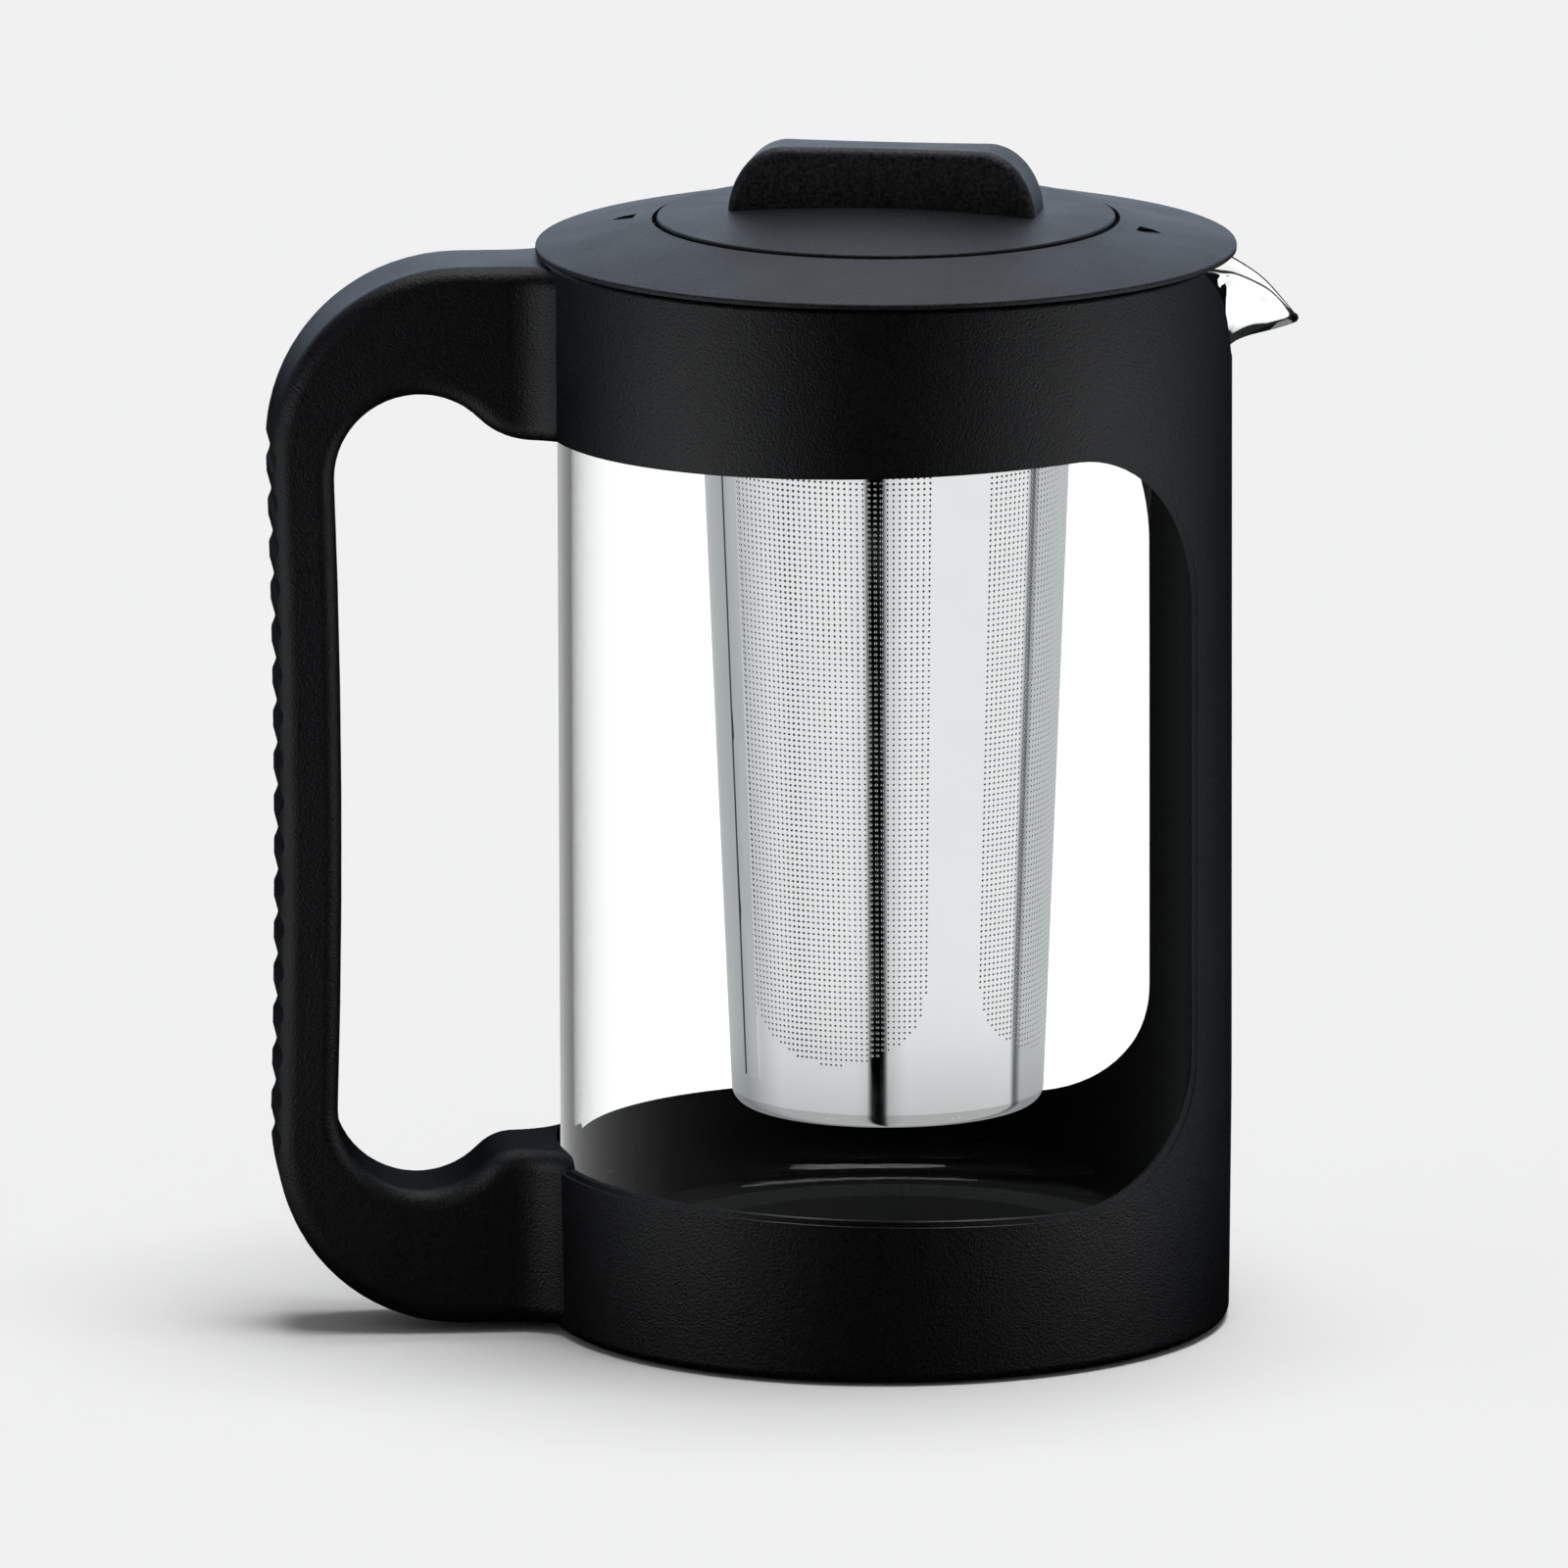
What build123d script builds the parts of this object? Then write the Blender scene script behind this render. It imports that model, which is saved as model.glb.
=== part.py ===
from build123d import *
import math
import os

# Cold brew coffee maker: a glass carafe in a moulded frame with a loop handle, a turning lid,
# a hanging perforated steel filter and a centre cap with a grip bar that locks by a bayonet.
# Millimetres. The origin is on the carafe's axis at the face it stands on, +X points to the
# spout, -X to the handle and +Z up.

# Glass carafe with its pinched spout
glass_radius = 54.0
glass_wall = 2.1
glass_floor = 3.5
glass_corner_radius = 9.0
glass_top = 178.0
glass_rim_round = 0.6
glass_clearance = 0.7
cushion_thickness = 1.0
cushion_outer_inset = 11.0
cushion_width = 9.0
collar_thickness = 0.5
collar_above_window = 1.3
collar_height = 5.0

# Stations along the spout: reach beyond the glass, half width at the lip, and the depths of
# the lip, of the outer keel and of the inner trough below the glass's rim
spout_stations = [
    (-5.0, 17.0, -0.8, 19.0, 18.0),
    (0.7, 12.0, 1.7, 17.0, 16.0),
    (5.7, 7.4, 4.0, 15.1, 14.1),
    (10.0, 4.4, 7.8, 13.6, 12.8),
    (14.2, 2.4, 11.4, 12.8, 11.2),
]
spout_wall = 1.5
spout_headroom = 3.0
spout_lip_lead = 6.0
spout_tip_lead = 1.0
spout_keel_share = 0.35
spout_side_share = 0.75
spout_side_depth = 0.6

# Moulded frame: lower band, pillar under the spout and upper band
frame_wall = 2.05
base_taper = 0.45
taper_top = 40.0
frame_bottom = 0.5
frame_above_glass = 0.5
frame_bottom_round = 1.6
frame_top_round = 0.7
ledge_bottom = 7.0
ledge_thickness = 1.8
ledge_width = 22.7

# Viewing window, drawn from the side and cut straight through the frame
pillar_depth = 8.95
window_past_handle = 5.25
window_low_at_handle = 28.5
window_low_at_pillar = 26.9
upper_band_at_handle = 29.4
upper_band_at_pillar = 27.0
window_low_corner_x = 22.0
window_low_corner_z = 22.0
window_high_corner_x = 20.0
window_high_corner_z = 28.0
window_rebate_width = 0.9
window_rebate_depth = 0.8

# Notch in the upper band for the glass spout: half widths at depths below the frame's top
notch_bottom_depth = 17.9
notch_outline = [(28.3, -0.9), (24.6, 1.5), (18.3, 6.0), (12.1, 12.9), (8.5, 16.7)]

# Loop handle
handle_width = 21.0
handle_below_top = 0.5
handle_bottom = 1.4
handle_reach_high = 44.9
handle_reach_low = 44.75
handle_corner_radius = 31.4
handle_bow = 0.9
handle_foot_radius = 33.4
handle_foot_sink = 1.8
handle_sole_tightening = 3.4
handle_root_inset = 4.7
grip_thickness = 10.45
grip_inner_bow = 0.9
hollow_radius = 13.9
upper_hollow_drop = 6.1
upper_root_radius = 12.5
lower_root_z = 30.4
lower_hollow_rise = 7.3
lower_root_radius = 8.0
handle_flare_radius = 9.2
handle_flare_start = 5.25
handle_flare_sweep = 60.0
handle_edge_round = 3.0

# Ribbed grip strip that forms the back of the handle
strip_depth = 3.3
strip_head_sweep = 12.0
strip_foot_sweep = 25.0
rib_pitch = 7.1
rib_depth = 0.85
rib_valley_radius = 3.2
rib_crest_round = 1.2
rib_crest_trim = 0.02
rib_first_drop = 0.25
rib_count = 17
peg_radius = 1.6
peg_length = 3.0
peg_count = 4
peg_first_drop = 12.0
peg_pitch = 31.0

# Base cover, its pad and the screws
cover_clearance = 0.3
cover_bottom = 1.0
cover_thickness = 2.4
pad_inset = 16.4
pad_recess = 0.6
pad_fit = 0.2
base_screw_inset = 8.2
base_screw_count = 4
base_screw_start_angle = 45.0
base_screw_length = 5.6
boss_radius = 3.4
screw_shank_radius = 1.45
screw_head_radius = 2.8
screw_head_height = 1.5
screw_cross_length = 3.4
screw_cross_width = 0.9
screw_cross_depth = 0.8
screw_fit = 0.1

# Lid: outer cover, inner plug with collar and skirt, and the skirt's seal
lid_turn_at_rest = -13.0
lid_gap = 0.3
lid_overhang = 0.75
lid_rim_height = 0.8
lid_rim_round = 0.35
lid_shoulder_inset = 9.5
lid_shoulder_rise = 2.9
lid_inner_rise = 4.9
lid_boss_height = 3.1
collar_step = 1.9
mark_count = 2
mark_inset = 13.5
mark_body = 2.3
mark_tip = 1.9
mark_width = 3.8
mark_depth = 0.3
web_clearance = 0.9
web_thickness = 1.8
skirt_clearance = 2.0
skirt_wall = 1.8
skirt_height = 26.3
seal_groove_lift = 2.5
seal_groove_height = 4.6
seal_groove_depth = 1.1
seal_band_wall = 1.4
seal_fin_count = 2
seal_fin_gap = 0.3
seal_fin_rise = 1.0
seal_fin_thickness = 0.7
seal_fin_pitch = 2.0
running_gap = 0.3
pour_side_count = 2
pour_slot_count = 9
pour_slot_width = 2.6
pour_slot_angle = 6.0
pour_slot_top_depth = 4.3
pour_slot_height = 11.5

# Collar inside the lid that carries the filter and takes the cap
collar_inset = 15.4
collar_wall = 3.9
collar_depth = 13.6
filter_ledge_thickness = 1.8
filter_ledge_reach = 4.6

# Filter
filter_length = 128.3
filter_low_inset = 10.75
filter_taper = 0.0412
filter_sheet = 0.5
filter_neck_height = 6.0
filter_flange_clearance = 0.6
filter_bead_height = 1.0
filter_bead_width = 1.2
filter_seal_thickness = 1.3
filter_seal_width = 3.0
filter_seal_inset = 0.5
filter_cup_drop = 3.6
filter_cup_corner = 2.6
filter_cup_lap = 3.0
filter_seam_width = 5.0
filter_seam_thickness = 0.4
filter_seam_azimuth = 207.0

# Cap: disc, grip bar, plug with bayonet lugs, seal and screws
cap_gap = 0.8
cap_edge_height = 2.0
cap_edge_round = 0.4
cap_dome_height = 1.9
plug_clearance = 0.4
plug_wall = 3.0
plug_plate = 2.0
lug_count = 2
lug_depth = 7.4
lug_height = 2.4
lug_reach = 1.8
lug_angle = 22.0
lug_gap = 0.3
lug_gap_angle = 1.0
cap_turn_range = 60.0
cap_seal_lift = 1.0
cap_seal_height = 2.2
cap_seal_depth = 1.8
cap_seal_reach = 0.1
grip_length = 51.0
grip_width = 12.0
grip_height = 9.7
grip_shoulder = 9.0
grip_waist = 1.6
grip_edge_round = 1.4
cap_screw_spacing = 26.0
cap_screw_length = 9.0

# Places that follow from the sizes above
bore_radius = glass_radius + glass_clearance
band_radius = bore_radius + frame_wall
base_radius = band_radius - base_taper
frame_top = glass_top + frame_above_glass
ledge_top = ledge_bottom + ledge_thickness
glass_bottom = ledge_top + cushion_thickness
glass_bore = glass_radius - glass_wall
cushion_outer_radius = glass_radius - cushion_outer_inset
cushion_inner_radius = cushion_outer_radius - cushion_width
ledge_inner_radius = bore_radius - ledge_width
window_high_at_handle = frame_top - upper_band_at_handle
window_high_at_pillar = frame_top - upper_band_at_pillar
pillar_edge_x = band_radius - pillar_depth
handle_top = frame_top - handle_below_top
handle_back_high_x = -band_radius - handle_reach_high
handle_back_low_x = -band_radius - handle_reach_low
handle_corner_x = handle_back_high_x + handle_corner_radius
handle_corner_z = handle_top - handle_corner_radius
handle_foot_x = handle_back_low_x + handle_foot_radius
handle_foot_z = handle_bottom + handle_foot_radius - handle_foot_sink
handle_sole_round = handle_foot_radius - handle_sole_tightening
handle_root_x = handle_root_inset - bore_radius
upper_root_z = window_high_at_handle
cover_top = cover_bottom + cover_thickness
cover_radius = bore_radius - cover_clearance
pad_radius = cover_radius - pad_inset
base_screw_circle_radius = bore_radius - base_screw_inset
lid_bottom = frame_top + lid_gap
lid_radius = band_radius + lid_overhang
mark_circle_radius = lid_radius - mark_inset
collar_bore = glass_bore - collar_inset
lid_inner_radius = collar_bore + collar_step
web_bottom = lid_bottom - web_thickness
web_radius = glass_bore - web_clearance
skirt_radius = glass_bore - skirt_clearance
skirt_bottom = lid_bottom - skirt_height
collar_outer = collar_bore + collar_wall
collar_top = lid_bottom + lid_boss_height
collar_foot = lid_bottom - collar_depth
filter_ledge_top = collar_foot + filter_ledge_thickness
filter_ledge_inner = collar_bore - filter_ledge_reach
flange_bottom = filter_ledge_top + filter_seal_thickness
flange_radius = collar_bore - filter_flange_clearance
bead_top = flange_bottom + filter_bead_height
filter_low_z = flange_bottom - filter_length
filter_low_radius = collar_bore - filter_low_inset
plug_radius = collar_bore - plug_clearance
plug_foot = bead_top + running_gap
plug_top = collar_top + running_gap
lug_bottom = collar_top - lug_depth
lug_radius = plug_radius + lug_reach
track_radius = lug_radius + lug_gap
cap_radius = lid_inner_radius - cap_gap
cap_edge_top = plug_top + cap_edge_height
cap_top = cap_edge_top + cap_dome_height
grip_top = cap_top + grip_height
cutter_radius = 2 * band_radius
cutter_height = 2 * frame_top

ON_FLOOR = (Align.CENTER, Align.CENTER, Align.MIN)
TOLERANCE = 0.01


def disc(radius, low, high):
    """Upright cylinder on the carafe's axis between two heights."""
    return Pos(0, 0, low) * Cylinder(radius, high - low, align=ON_FLOOR)


def ring(outer, inner, low, high):
    """Upright ring on the carafe's axis between two heights."""
    return disc(outer, low, high) - disc(inner, low, high)


def side_face(edges):
    """Face in the XZ plane from edges drawn as side views in local X and Y."""
    return Plane.XZ * make_face(edges)


def slab(face, width):
    """Side face given a width across Y, half to each side of the XZ plane."""
    return Pos(0, width / 2, 0) * extrude(face, amount=width)


def turned(points):
    """Solid turned about the carafe's axis from corner points of radius and height."""
    return revolve(side_face([Polyline(*points, close=True)]), Axis.Z)


def at_azimuth(angle, radius, solid):
    """Solid moved out along +X and then turned about the carafe's axis."""
    return Rot(0, 0, angle) * Pos(radius, 0, 0) * solid


def azimuths(count, start=0.0):
    """Angles of pieces spread evenly round the carafe's axis."""
    return [start + 360.0 * step / count for step in range(count)]


def rim_edges(solid, height, radius):
    """Circular edges of a solid at one height and radius."""
    circles = solid.edges().filter_by(GeomType.CIRCLE)
    return [
        edge for edge in circles
        if abs(edge.center().Z - height) < TOLERANCE and abs(edge.radius - radius) < TOLERANCE
    ]


# Frame

def window_face(grow):
    """Side outline of the viewing window, with elliptical corners at the pillar."""
    edge_x = pillar_edge_x + grow
    handle_x = -band_radius - window_past_handle
    low_handle = window_low_at_handle - grow
    low_pillar = window_low_at_pillar - grow
    high_handle = window_high_at_handle + grow
    high_pillar = window_high_at_pillar + grow
    low_start = (edge_x - window_low_corner_x, low_pillar)
    low_end = (edge_x, low_pillar + window_low_corner_z)
    high_start = (edge_x, high_pillar - window_high_corner_z)
    high_end = (edge_x - window_high_corner_x, high_pillar)
    low_centre = (low_start[0], low_end[1])
    high_centre = (high_end[0], high_start[1])
    return side_face([
        Line((handle_x, low_handle), low_start),
        EllipticalCenterArc(low_centre, window_low_corner_x, window_low_corner_z, 270, arc_size=90),
        Line(low_end, high_start),
        EllipticalCenterArc(high_centre, window_high_corner_x, window_high_corner_z, 0, arc_size=90),
        Line(high_end, (handle_x, high_handle)),
        Line((handle_x, high_handle), (handle_x, low_handle)),
    ])


def notch_cutter():
    """Cutter for the spout's notch, open at the top of the upper band."""
    half = [(width, frame_top - depth) for width, depth in notch_outline]
    points = half + [(0.0, frame_top - notch_bottom_depth)] + [(-y, z) for y, z in reversed(half)]
    outline = make_face([Spline(*points), Line(points[-1], points[0])])
    return extrude(Plane.YZ * outline, amount=cutter_radius)


def frame_tube():
    """Wall of the frame with the inner ledge that carries the glass."""
    wall = turned([
        (base_radius, frame_bottom),
        (band_radius, taper_top),
        (band_radius, frame_top),
        (bore_radius, frame_top),
        (bore_radius, ledge_top),
        (ledge_inner_radius, ledge_top),
        (ledge_inner_radius, ledge_bottom),
        (bore_radius, ledge_bottom),
        (bore_radius, frame_bottom),
    ])
    wall = fillet(rim_edges(wall, frame_bottom, base_radius), frame_bottom_round)
    wall = fillet(rim_edges(wall, frame_top, band_radius), frame_top_round)
    through = slab(window_face(0.0), cutter_radius)
    rebate = slab(window_face(window_rebate_width), cutter_radius)
    rebate -= disc(band_radius - window_rebate_depth, frame_bottom, frame_top)
    return wall - through - rebate - notch_cutter()


def grip_line(inset):
    """High end, middle and low end of the handle's bowed back, inset by a depth."""
    high = (handle_corner_x - handle_corner_radius + inset, handle_corner_z)
    low = (handle_foot_x - handle_foot_radius + inset, handle_foot_z)
    middle = ((high[0] + low[0]) / 2 + handle_bow, (high[1] + low[1]) / 2)
    return high, middle, low


def arch_arcs(hollow_x, hollow_z, root_z, root_radius, side):
    """Arc of the finger hollow and the arc that turns it back into an arm's root.

    The side is 1 for the upper arm and -1 for the lower one. The last point is where the
    root's straight stretch begins.
    """
    root_centre_z = root_z + side * root_radius
    rise = abs(root_centre_z - hollow_z)
    reach = hollow_radius + root_radius
    root_centre_x = hollow_x + math.sqrt(reach ** 2 - rise ** 2)
    turn = math.degrees(math.atan2(rise, root_centre_x - hollow_x))
    hollow = CenterArc((hollow_x, hollow_z), hollow_radius, 180, -side * (180 - turn))
    root = CenterArc(
        (root_centre_x, root_centre_z), root_radius, 180 + side * turn, side * (90 - turn)
    )
    return hollow, root, (root_centre_x, root_z)


def handle_side():
    """Side outline of the whole handle, its roots running into the frame's wall."""
    high, middle, low = grip_line(0.0)
    drop = handle_foot_radius - handle_foot_sink
    sole_x = handle_foot_x - math.sqrt(handle_foot_radius ** 2 - drop ** 2)
    sole_angle = 360 - math.degrees(math.acos((sole_x - handle_foot_x) / handle_foot_radius))
    grip_inner_x = handle_back_high_x + grip_thickness
    hollow_x = grip_inner_x + hollow_radius
    upper_hollow_z = upper_root_z - upper_hollow_drop
    lower_hollow_z = lower_root_z + lower_hollow_rise
    upper_hollow, upper_root, upper_end = arch_arcs(
        hollow_x, upper_hollow_z, upper_root_z, upper_root_radius, 1
    )
    lower_hollow, lower_root, lower_end = arch_arcs(
        hollow_x, lower_hollow_z, lower_root_z, lower_root_radius, -1
    )
    inner_high = (grip_inner_x, upper_hollow_z)
    inner_low = (grip_inner_x, lower_hollow_z)
    inner_middle = (grip_inner_x + grip_inner_bow, (upper_hollow_z + lower_hollow_z) / 2)
    face = side_face([
        Line((handle_root_x, handle_top), (handle_corner_x, handle_top)),
        CenterArc((handle_corner_x, handle_corner_z), handle_corner_radius, 90, 90),
        ThreePointArc(high, middle, low),
        CenterArc((handle_foot_x, handle_foot_z), handle_foot_radius, 180, sole_angle - 180),
        Line((sole_x, handle_bottom), (handle_root_x, handle_bottom)),
        Line((handle_root_x, handle_bottom), (handle_root_x, lower_root_z)),
        Line((handle_root_x, lower_root_z), lower_end),
        lower_root,
        lower_hollow,
        ThreePointArc(inner_low, inner_middle, inner_high),
        upper_hollow,
        upper_root,
        Line(upper_end, (handle_root_x, upper_root_z)),
        Line((handle_root_x, upper_root_z), (handle_root_x, handle_top)),
    ])
    return face, (sole_x, handle_bottom)


def handle_plan():
    """Plan of the handle, flaring by two arcs that run into the frame's round wall."""
    half = handle_width / 2
    centre_x = -band_radius - handle_flare_start
    centre_y = half + handle_flare_radius
    back_x = handle_corner_x - handle_corner_radius - handle_width
    near = CenterArc((centre_x, -centre_y), handle_flare_radius, 90, -handle_flare_sweep)
    far = CenterArc((centre_x, centre_y), handle_flare_radius, 270, handle_flare_sweep)
    near_root = (handle_root_x, (near @ 1).Y)
    far_root = (handle_root_x, (far @ 1).Y)
    return make_face([
        Line((back_x, -half), (centre_x, -half)),
        near,
        Line(near @ 1, near_root),
        Line(near_root, far_root),
        Line(far_root, far @ 1),
        far,
        Line((centre_x, half), (back_x, half)),
        Line((back_x, half), (back_x, -half)),
    ])


def handle_long_edges(body):
    """The two chains of edges between the handle's sides and its back, hollow and flares."""
    half = handle_width / 2
    chains = []
    for edge in body.edges():
        ends = [edge @ 0, edge @ 1]
        beside = all(abs(end.Y) > half - TOLERANCE for end in ends)
        upright = edge.geom_type == GeomType.LINE and abs(ends[0].X - ends[1].X) < TOLERANCE
        if beside and not upright:
            chains.append(edge)
    return chains


def handle_body():
    """Handle with rounded long edges, before it joins the frame."""
    outline, sole_corner = handle_side()
    blank = slab(outline, cutter_radius)
    sole = [
        edge for edge in blank.edges().filter_by(Axis.Y)
        if abs(edge.center().X - sole_corner[0]) < TOLERANCE
        and abs(edge.center().Z - sole_corner[1]) < TOLERANCE
    ]
    blank = fillet(sole, handle_sole_round)
    body = blank & extrude(handle_plan(), amount=cutter_height)
    return fillet(handle_long_edges(body), handle_edge_round)


def back_chain(inset):
    """Arcs of the handle's back from the strip's head to its foot, inset by a depth."""
    return [
        CenterArc(
            (handle_corner_x, handle_corner_z), handle_corner_radius - inset,
            180 - strip_head_sweep, strip_head_sweep
        ),
        ThreePointArc(*grip_line(inset)),
        CenterArc(
            (handle_foot_x, handle_foot_z), handle_foot_radius - inset, 180, strip_foot_sweep
        ),
    ]


def strip_outline(proud):
    """Side outline of the strip's zone, reaching out past the handle's back by a height."""
    outer = back_chain(-proud)
    inner = back_chain(strip_depth)
    head = Line(inner[0] @ 0, outer[0] @ 0)
    foot = Line(outer[-1] @ 1, inner[-1] @ 1)
    return make_face([head, *outer, foot, *inner])


def back_x(height, inset):
    """X of the handle's bowed back at a height, inset by a depth."""
    high, middle, low = grip_line(inset)
    share = (high[1] - height) / (high[1] - low[1])
    straight = high[0] + share * (low[0] - high[0])
    return straight + handle_bow * 4 * share * (1 - share)


def peg_heights():
    """Heights of the pegs behind the grip strip."""
    first = handle_corner_z - peg_first_drop
    return [first - peg_pitch * step for step in range(peg_count)]


def strip_pegs(length):
    """Pegs on the strip's hidden face, also used to cut their holes."""
    pegs = []
    for height in peg_heights():
        start = back_x(height, strip_depth / 2)
        peg = Rot(0, 90, 0) * Cylinder(peg_radius, length + strip_depth / 2, align=ON_FLOOR)
        pegs.append(Pos(start, 0, height) * peg)
    return pegs


def valley_centres():
    """Centres of the round valleys between the strip's ribs, as side view places."""
    heights = [handle_corner_z - rib_first_drop - rib_pitch * step for step in range(rib_count)]
    return [Vector(back_x(height, rib_depth) - rib_valley_radius, height) for height in heights]


def ribbed_outline():
    """Side outline of the strip with round valleys and rounded crests."""
    outline = strip_outline(rib_crest_trim)
    centres = valley_centres()
    for centre in centres:
        outline -= Pos(centre.X, centre.Y) * Circle(rib_valley_radius)
    crests = [
        vertex for vertex in outline.vertices()
        if min(abs((Vector(vertex) - centre).length - rib_valley_radius) for centre in centres) < TOLERANCE
    ]
    return fillet(crests, rib_crest_round)


def handle_grip_strip(body):
    """Soft strip with rounded ribs that wrap round the handle's edges, pegged into the handle."""
    strip = body & slab(Plane.XZ * ribbed_outline(), cutter_radius)
    return strip + strip_pegs(peg_length)


def carafe_frame(body):
    """Frame with its handle, glass ledge, screw bosses and the strip's recess."""
    frame = frame_tube() + (body - slab(Plane.XZ * strip_outline(strip_depth), cutter_radius))
    frame -= disc(bore_radius, ledge_top, cutter_height)
    frame -= disc(bore_radius, -ledge_bottom, ledge_bottom)
    for angle in azimuths(base_screw_count, base_screw_start_angle):
        boss = Cylinder(boss_radius, ledge_bottom - cover_top, align=ON_FLOOR)
        frame += at_azimuth(angle, base_screw_circle_radius, Pos(0, 0, cover_top) * boss)
    return frame - strip_pegs(peg_length) - placed_base_screws()


# Screws

def screw(length):
    """Cross-headed screw with its head's outer face at zero and its shank upwards."""
    head = Cylinder(screw_head_radius, screw_head_height, align=ON_FLOOR)
    shank = Cylinder(screw_shank_radius, screw_head_height + length, align=ON_FLOOR)
    arm = Box(screw_cross_length, screw_cross_width, screw_cross_depth, align=ON_FLOOR)
    return head + shank - arm - Rot(0, 0, 90) * arm


def placed_base_screws():
    """Screws that hold the base cover, each in its own place."""
    return [
        at_azimuth(angle, base_screw_circle_radius, Pos(0, 0, cover_bottom) * screw(base_screw_length))
        for angle in azimuths(base_screw_count, base_screw_start_angle)
    ]


def placed_cap_screws():
    """Screws that hold the grip bar through the cap's plug and disc."""
    head_face = plug_top - plug_plate - screw_head_height
    return [
        Pos(side * cap_screw_spacing / 2, 0, head_face) * screw(cap_screw_length)
        for side in (-1, 1)
    ]


# Base

def base_cover():
    """Round cover under the glass, with counterbores and a shallow recess for the pad."""
    cover = disc(cover_radius, cover_bottom, cover_top)
    cover -= disc(pad_radius + pad_fit, cover_bottom, cover_bottom + pad_recess)
    hole = Cylinder(screw_shank_radius + screw_fit, cover_thickness, align=ON_FLOOR)
    seat = Cylinder(screw_head_radius + screw_fit, screw_head_height, align=ON_FLOOR)
    for angle in azimuths(base_screw_count, base_screw_start_angle):
        cover -= at_azimuth(angle, base_screw_circle_radius, Pos(0, 0, cover_bottom) * (hole + seat))
    return cover


def base_pad():
    """Soft pad that the carafe stands on."""
    return disc(pad_radius, 0, cover_bottom + pad_recess)


# Glass

def spout_section(station, inset, depth, lead):
    """Upright section of the spout across Y, its sides carried up past the rim."""
    reach, half_width, lip_depth = station[:3]
    half = half_width - inset
    lip = glass_top - lip_depth
    keel = glass_top - depth
    side = lip - spout_side_depth * (lip - keel)
    top = glass_top + spout_headroom
    left = Bezier(
        (-half, lip), (-spout_side_share * half, side), (-spout_keel_share * half, keel), (0, keel)
    )
    right = Bezier(
        (0, keel), (spout_keel_share * half, keel), (spout_side_share * half, side), (half, lip)
    )
    section = make_face([
        left,
        right,
        Line((half, lip), (half, top)),
        Line((half, top), (-half, top)),
        Line((-half, top), (-half, lip)),
    ])
    return Plane.YZ.offset(glass_radius + reach + lead) * section


def spout_outside():
    """Outer form of the spout, before its lip is trimmed."""
    return loft([spout_section(station, 0.0, station[3], 0.0) for station in spout_stations])


def spout_inside():
    """Hollow of the spout, open at the tip."""
    return loft([
        spout_section(station, spout_wall, station[4], spout_tip_lead) for station in spout_stations
    ])


def lip_trim():
    """Everything above the lip's line as seen from the side."""
    line = [(glass_radius + station[0], glass_top - station[2]) for station in spout_stations]
    start = (line[0][0] - spout_lip_lead, glass_top + spout_headroom)
    finish = (line[-1][0] + spout_lip_lead, line[-1][1] - spout_lip_lead)
    corner = (finish[0], start[1] + spout_headroom)
    lip = Spline(start, *line, finish)
    back = (start[0], corner[1])
    outline = side_face([lip, Line(finish, corner), Line(corner, back), Line(back, start)])
    return slab(outline, 2 * spout_stations[0][1] + 2 * spout_lip_lead)


def glass_cup(radius, low, corner, high):
    """Plain upright cup form with a rounded foot."""
    cup = disc(radius, low, high)
    return fillet(rim_edges(cup, low, radius), corner)


def glass_carafe():
    """Glass with its thick floor, rounded rim and pinched spout."""
    wall = glass_cup(glass_radius, glass_bottom, glass_corner_radius, glass_top)
    inner_corner = glass_corner_radius - glass_wall
    hollow = glass_cup(
        glass_bore, glass_bottom + glass_floor, inner_corner, glass_top + glass_floor
    )
    cup = wall - hollow
    rim = rim_edges(cup, glass_top, glass_radius) + rim_edges(cup, glass_top, glass_bore)
    cup = fillet(rim, glass_rim_round)
    spout = spout_outside() - disc(glass_bore, 0, cutter_height)
    return cup + spout - spout_inside() - lip_trim()


def glass_cushion():
    """Soft ring between the frame's ledge and the glass's foot."""
    return ring(cushion_outer_radius, cushion_inner_radius, ledge_top, glass_bottom)


def glass_collar():
    """Thin band that centres the glass in the frame's upper band."""
    low = window_high_at_pillar + collar_above_window
    return ring(glass_radius + collar_thickness, glass_radius, low, low + collar_height)


# Lid

def mark():
    """Arrow mark pointing outwards, as a cutter from the lid's slope upwards."""
    half = mark_width / 2
    arrow = make_face([Polyline(
        (-mark_body, half), (0, half), (mark_tip, 0), (0, -half), (-mark_body, -half), close=True
    )])
    return extrude(arrow, amount=cutter_height)


def lid_slope_z(radius):
    """Height of the lid's upper slope at a radius, taken as straight between its ends."""
    rim_z = lid_bottom + lid_rim_height
    share = (lid_radius - radius) / (lid_radius - lid_inner_radius)
    return rim_z + share * (lid_bottom + lid_inner_rise - rim_z)


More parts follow.
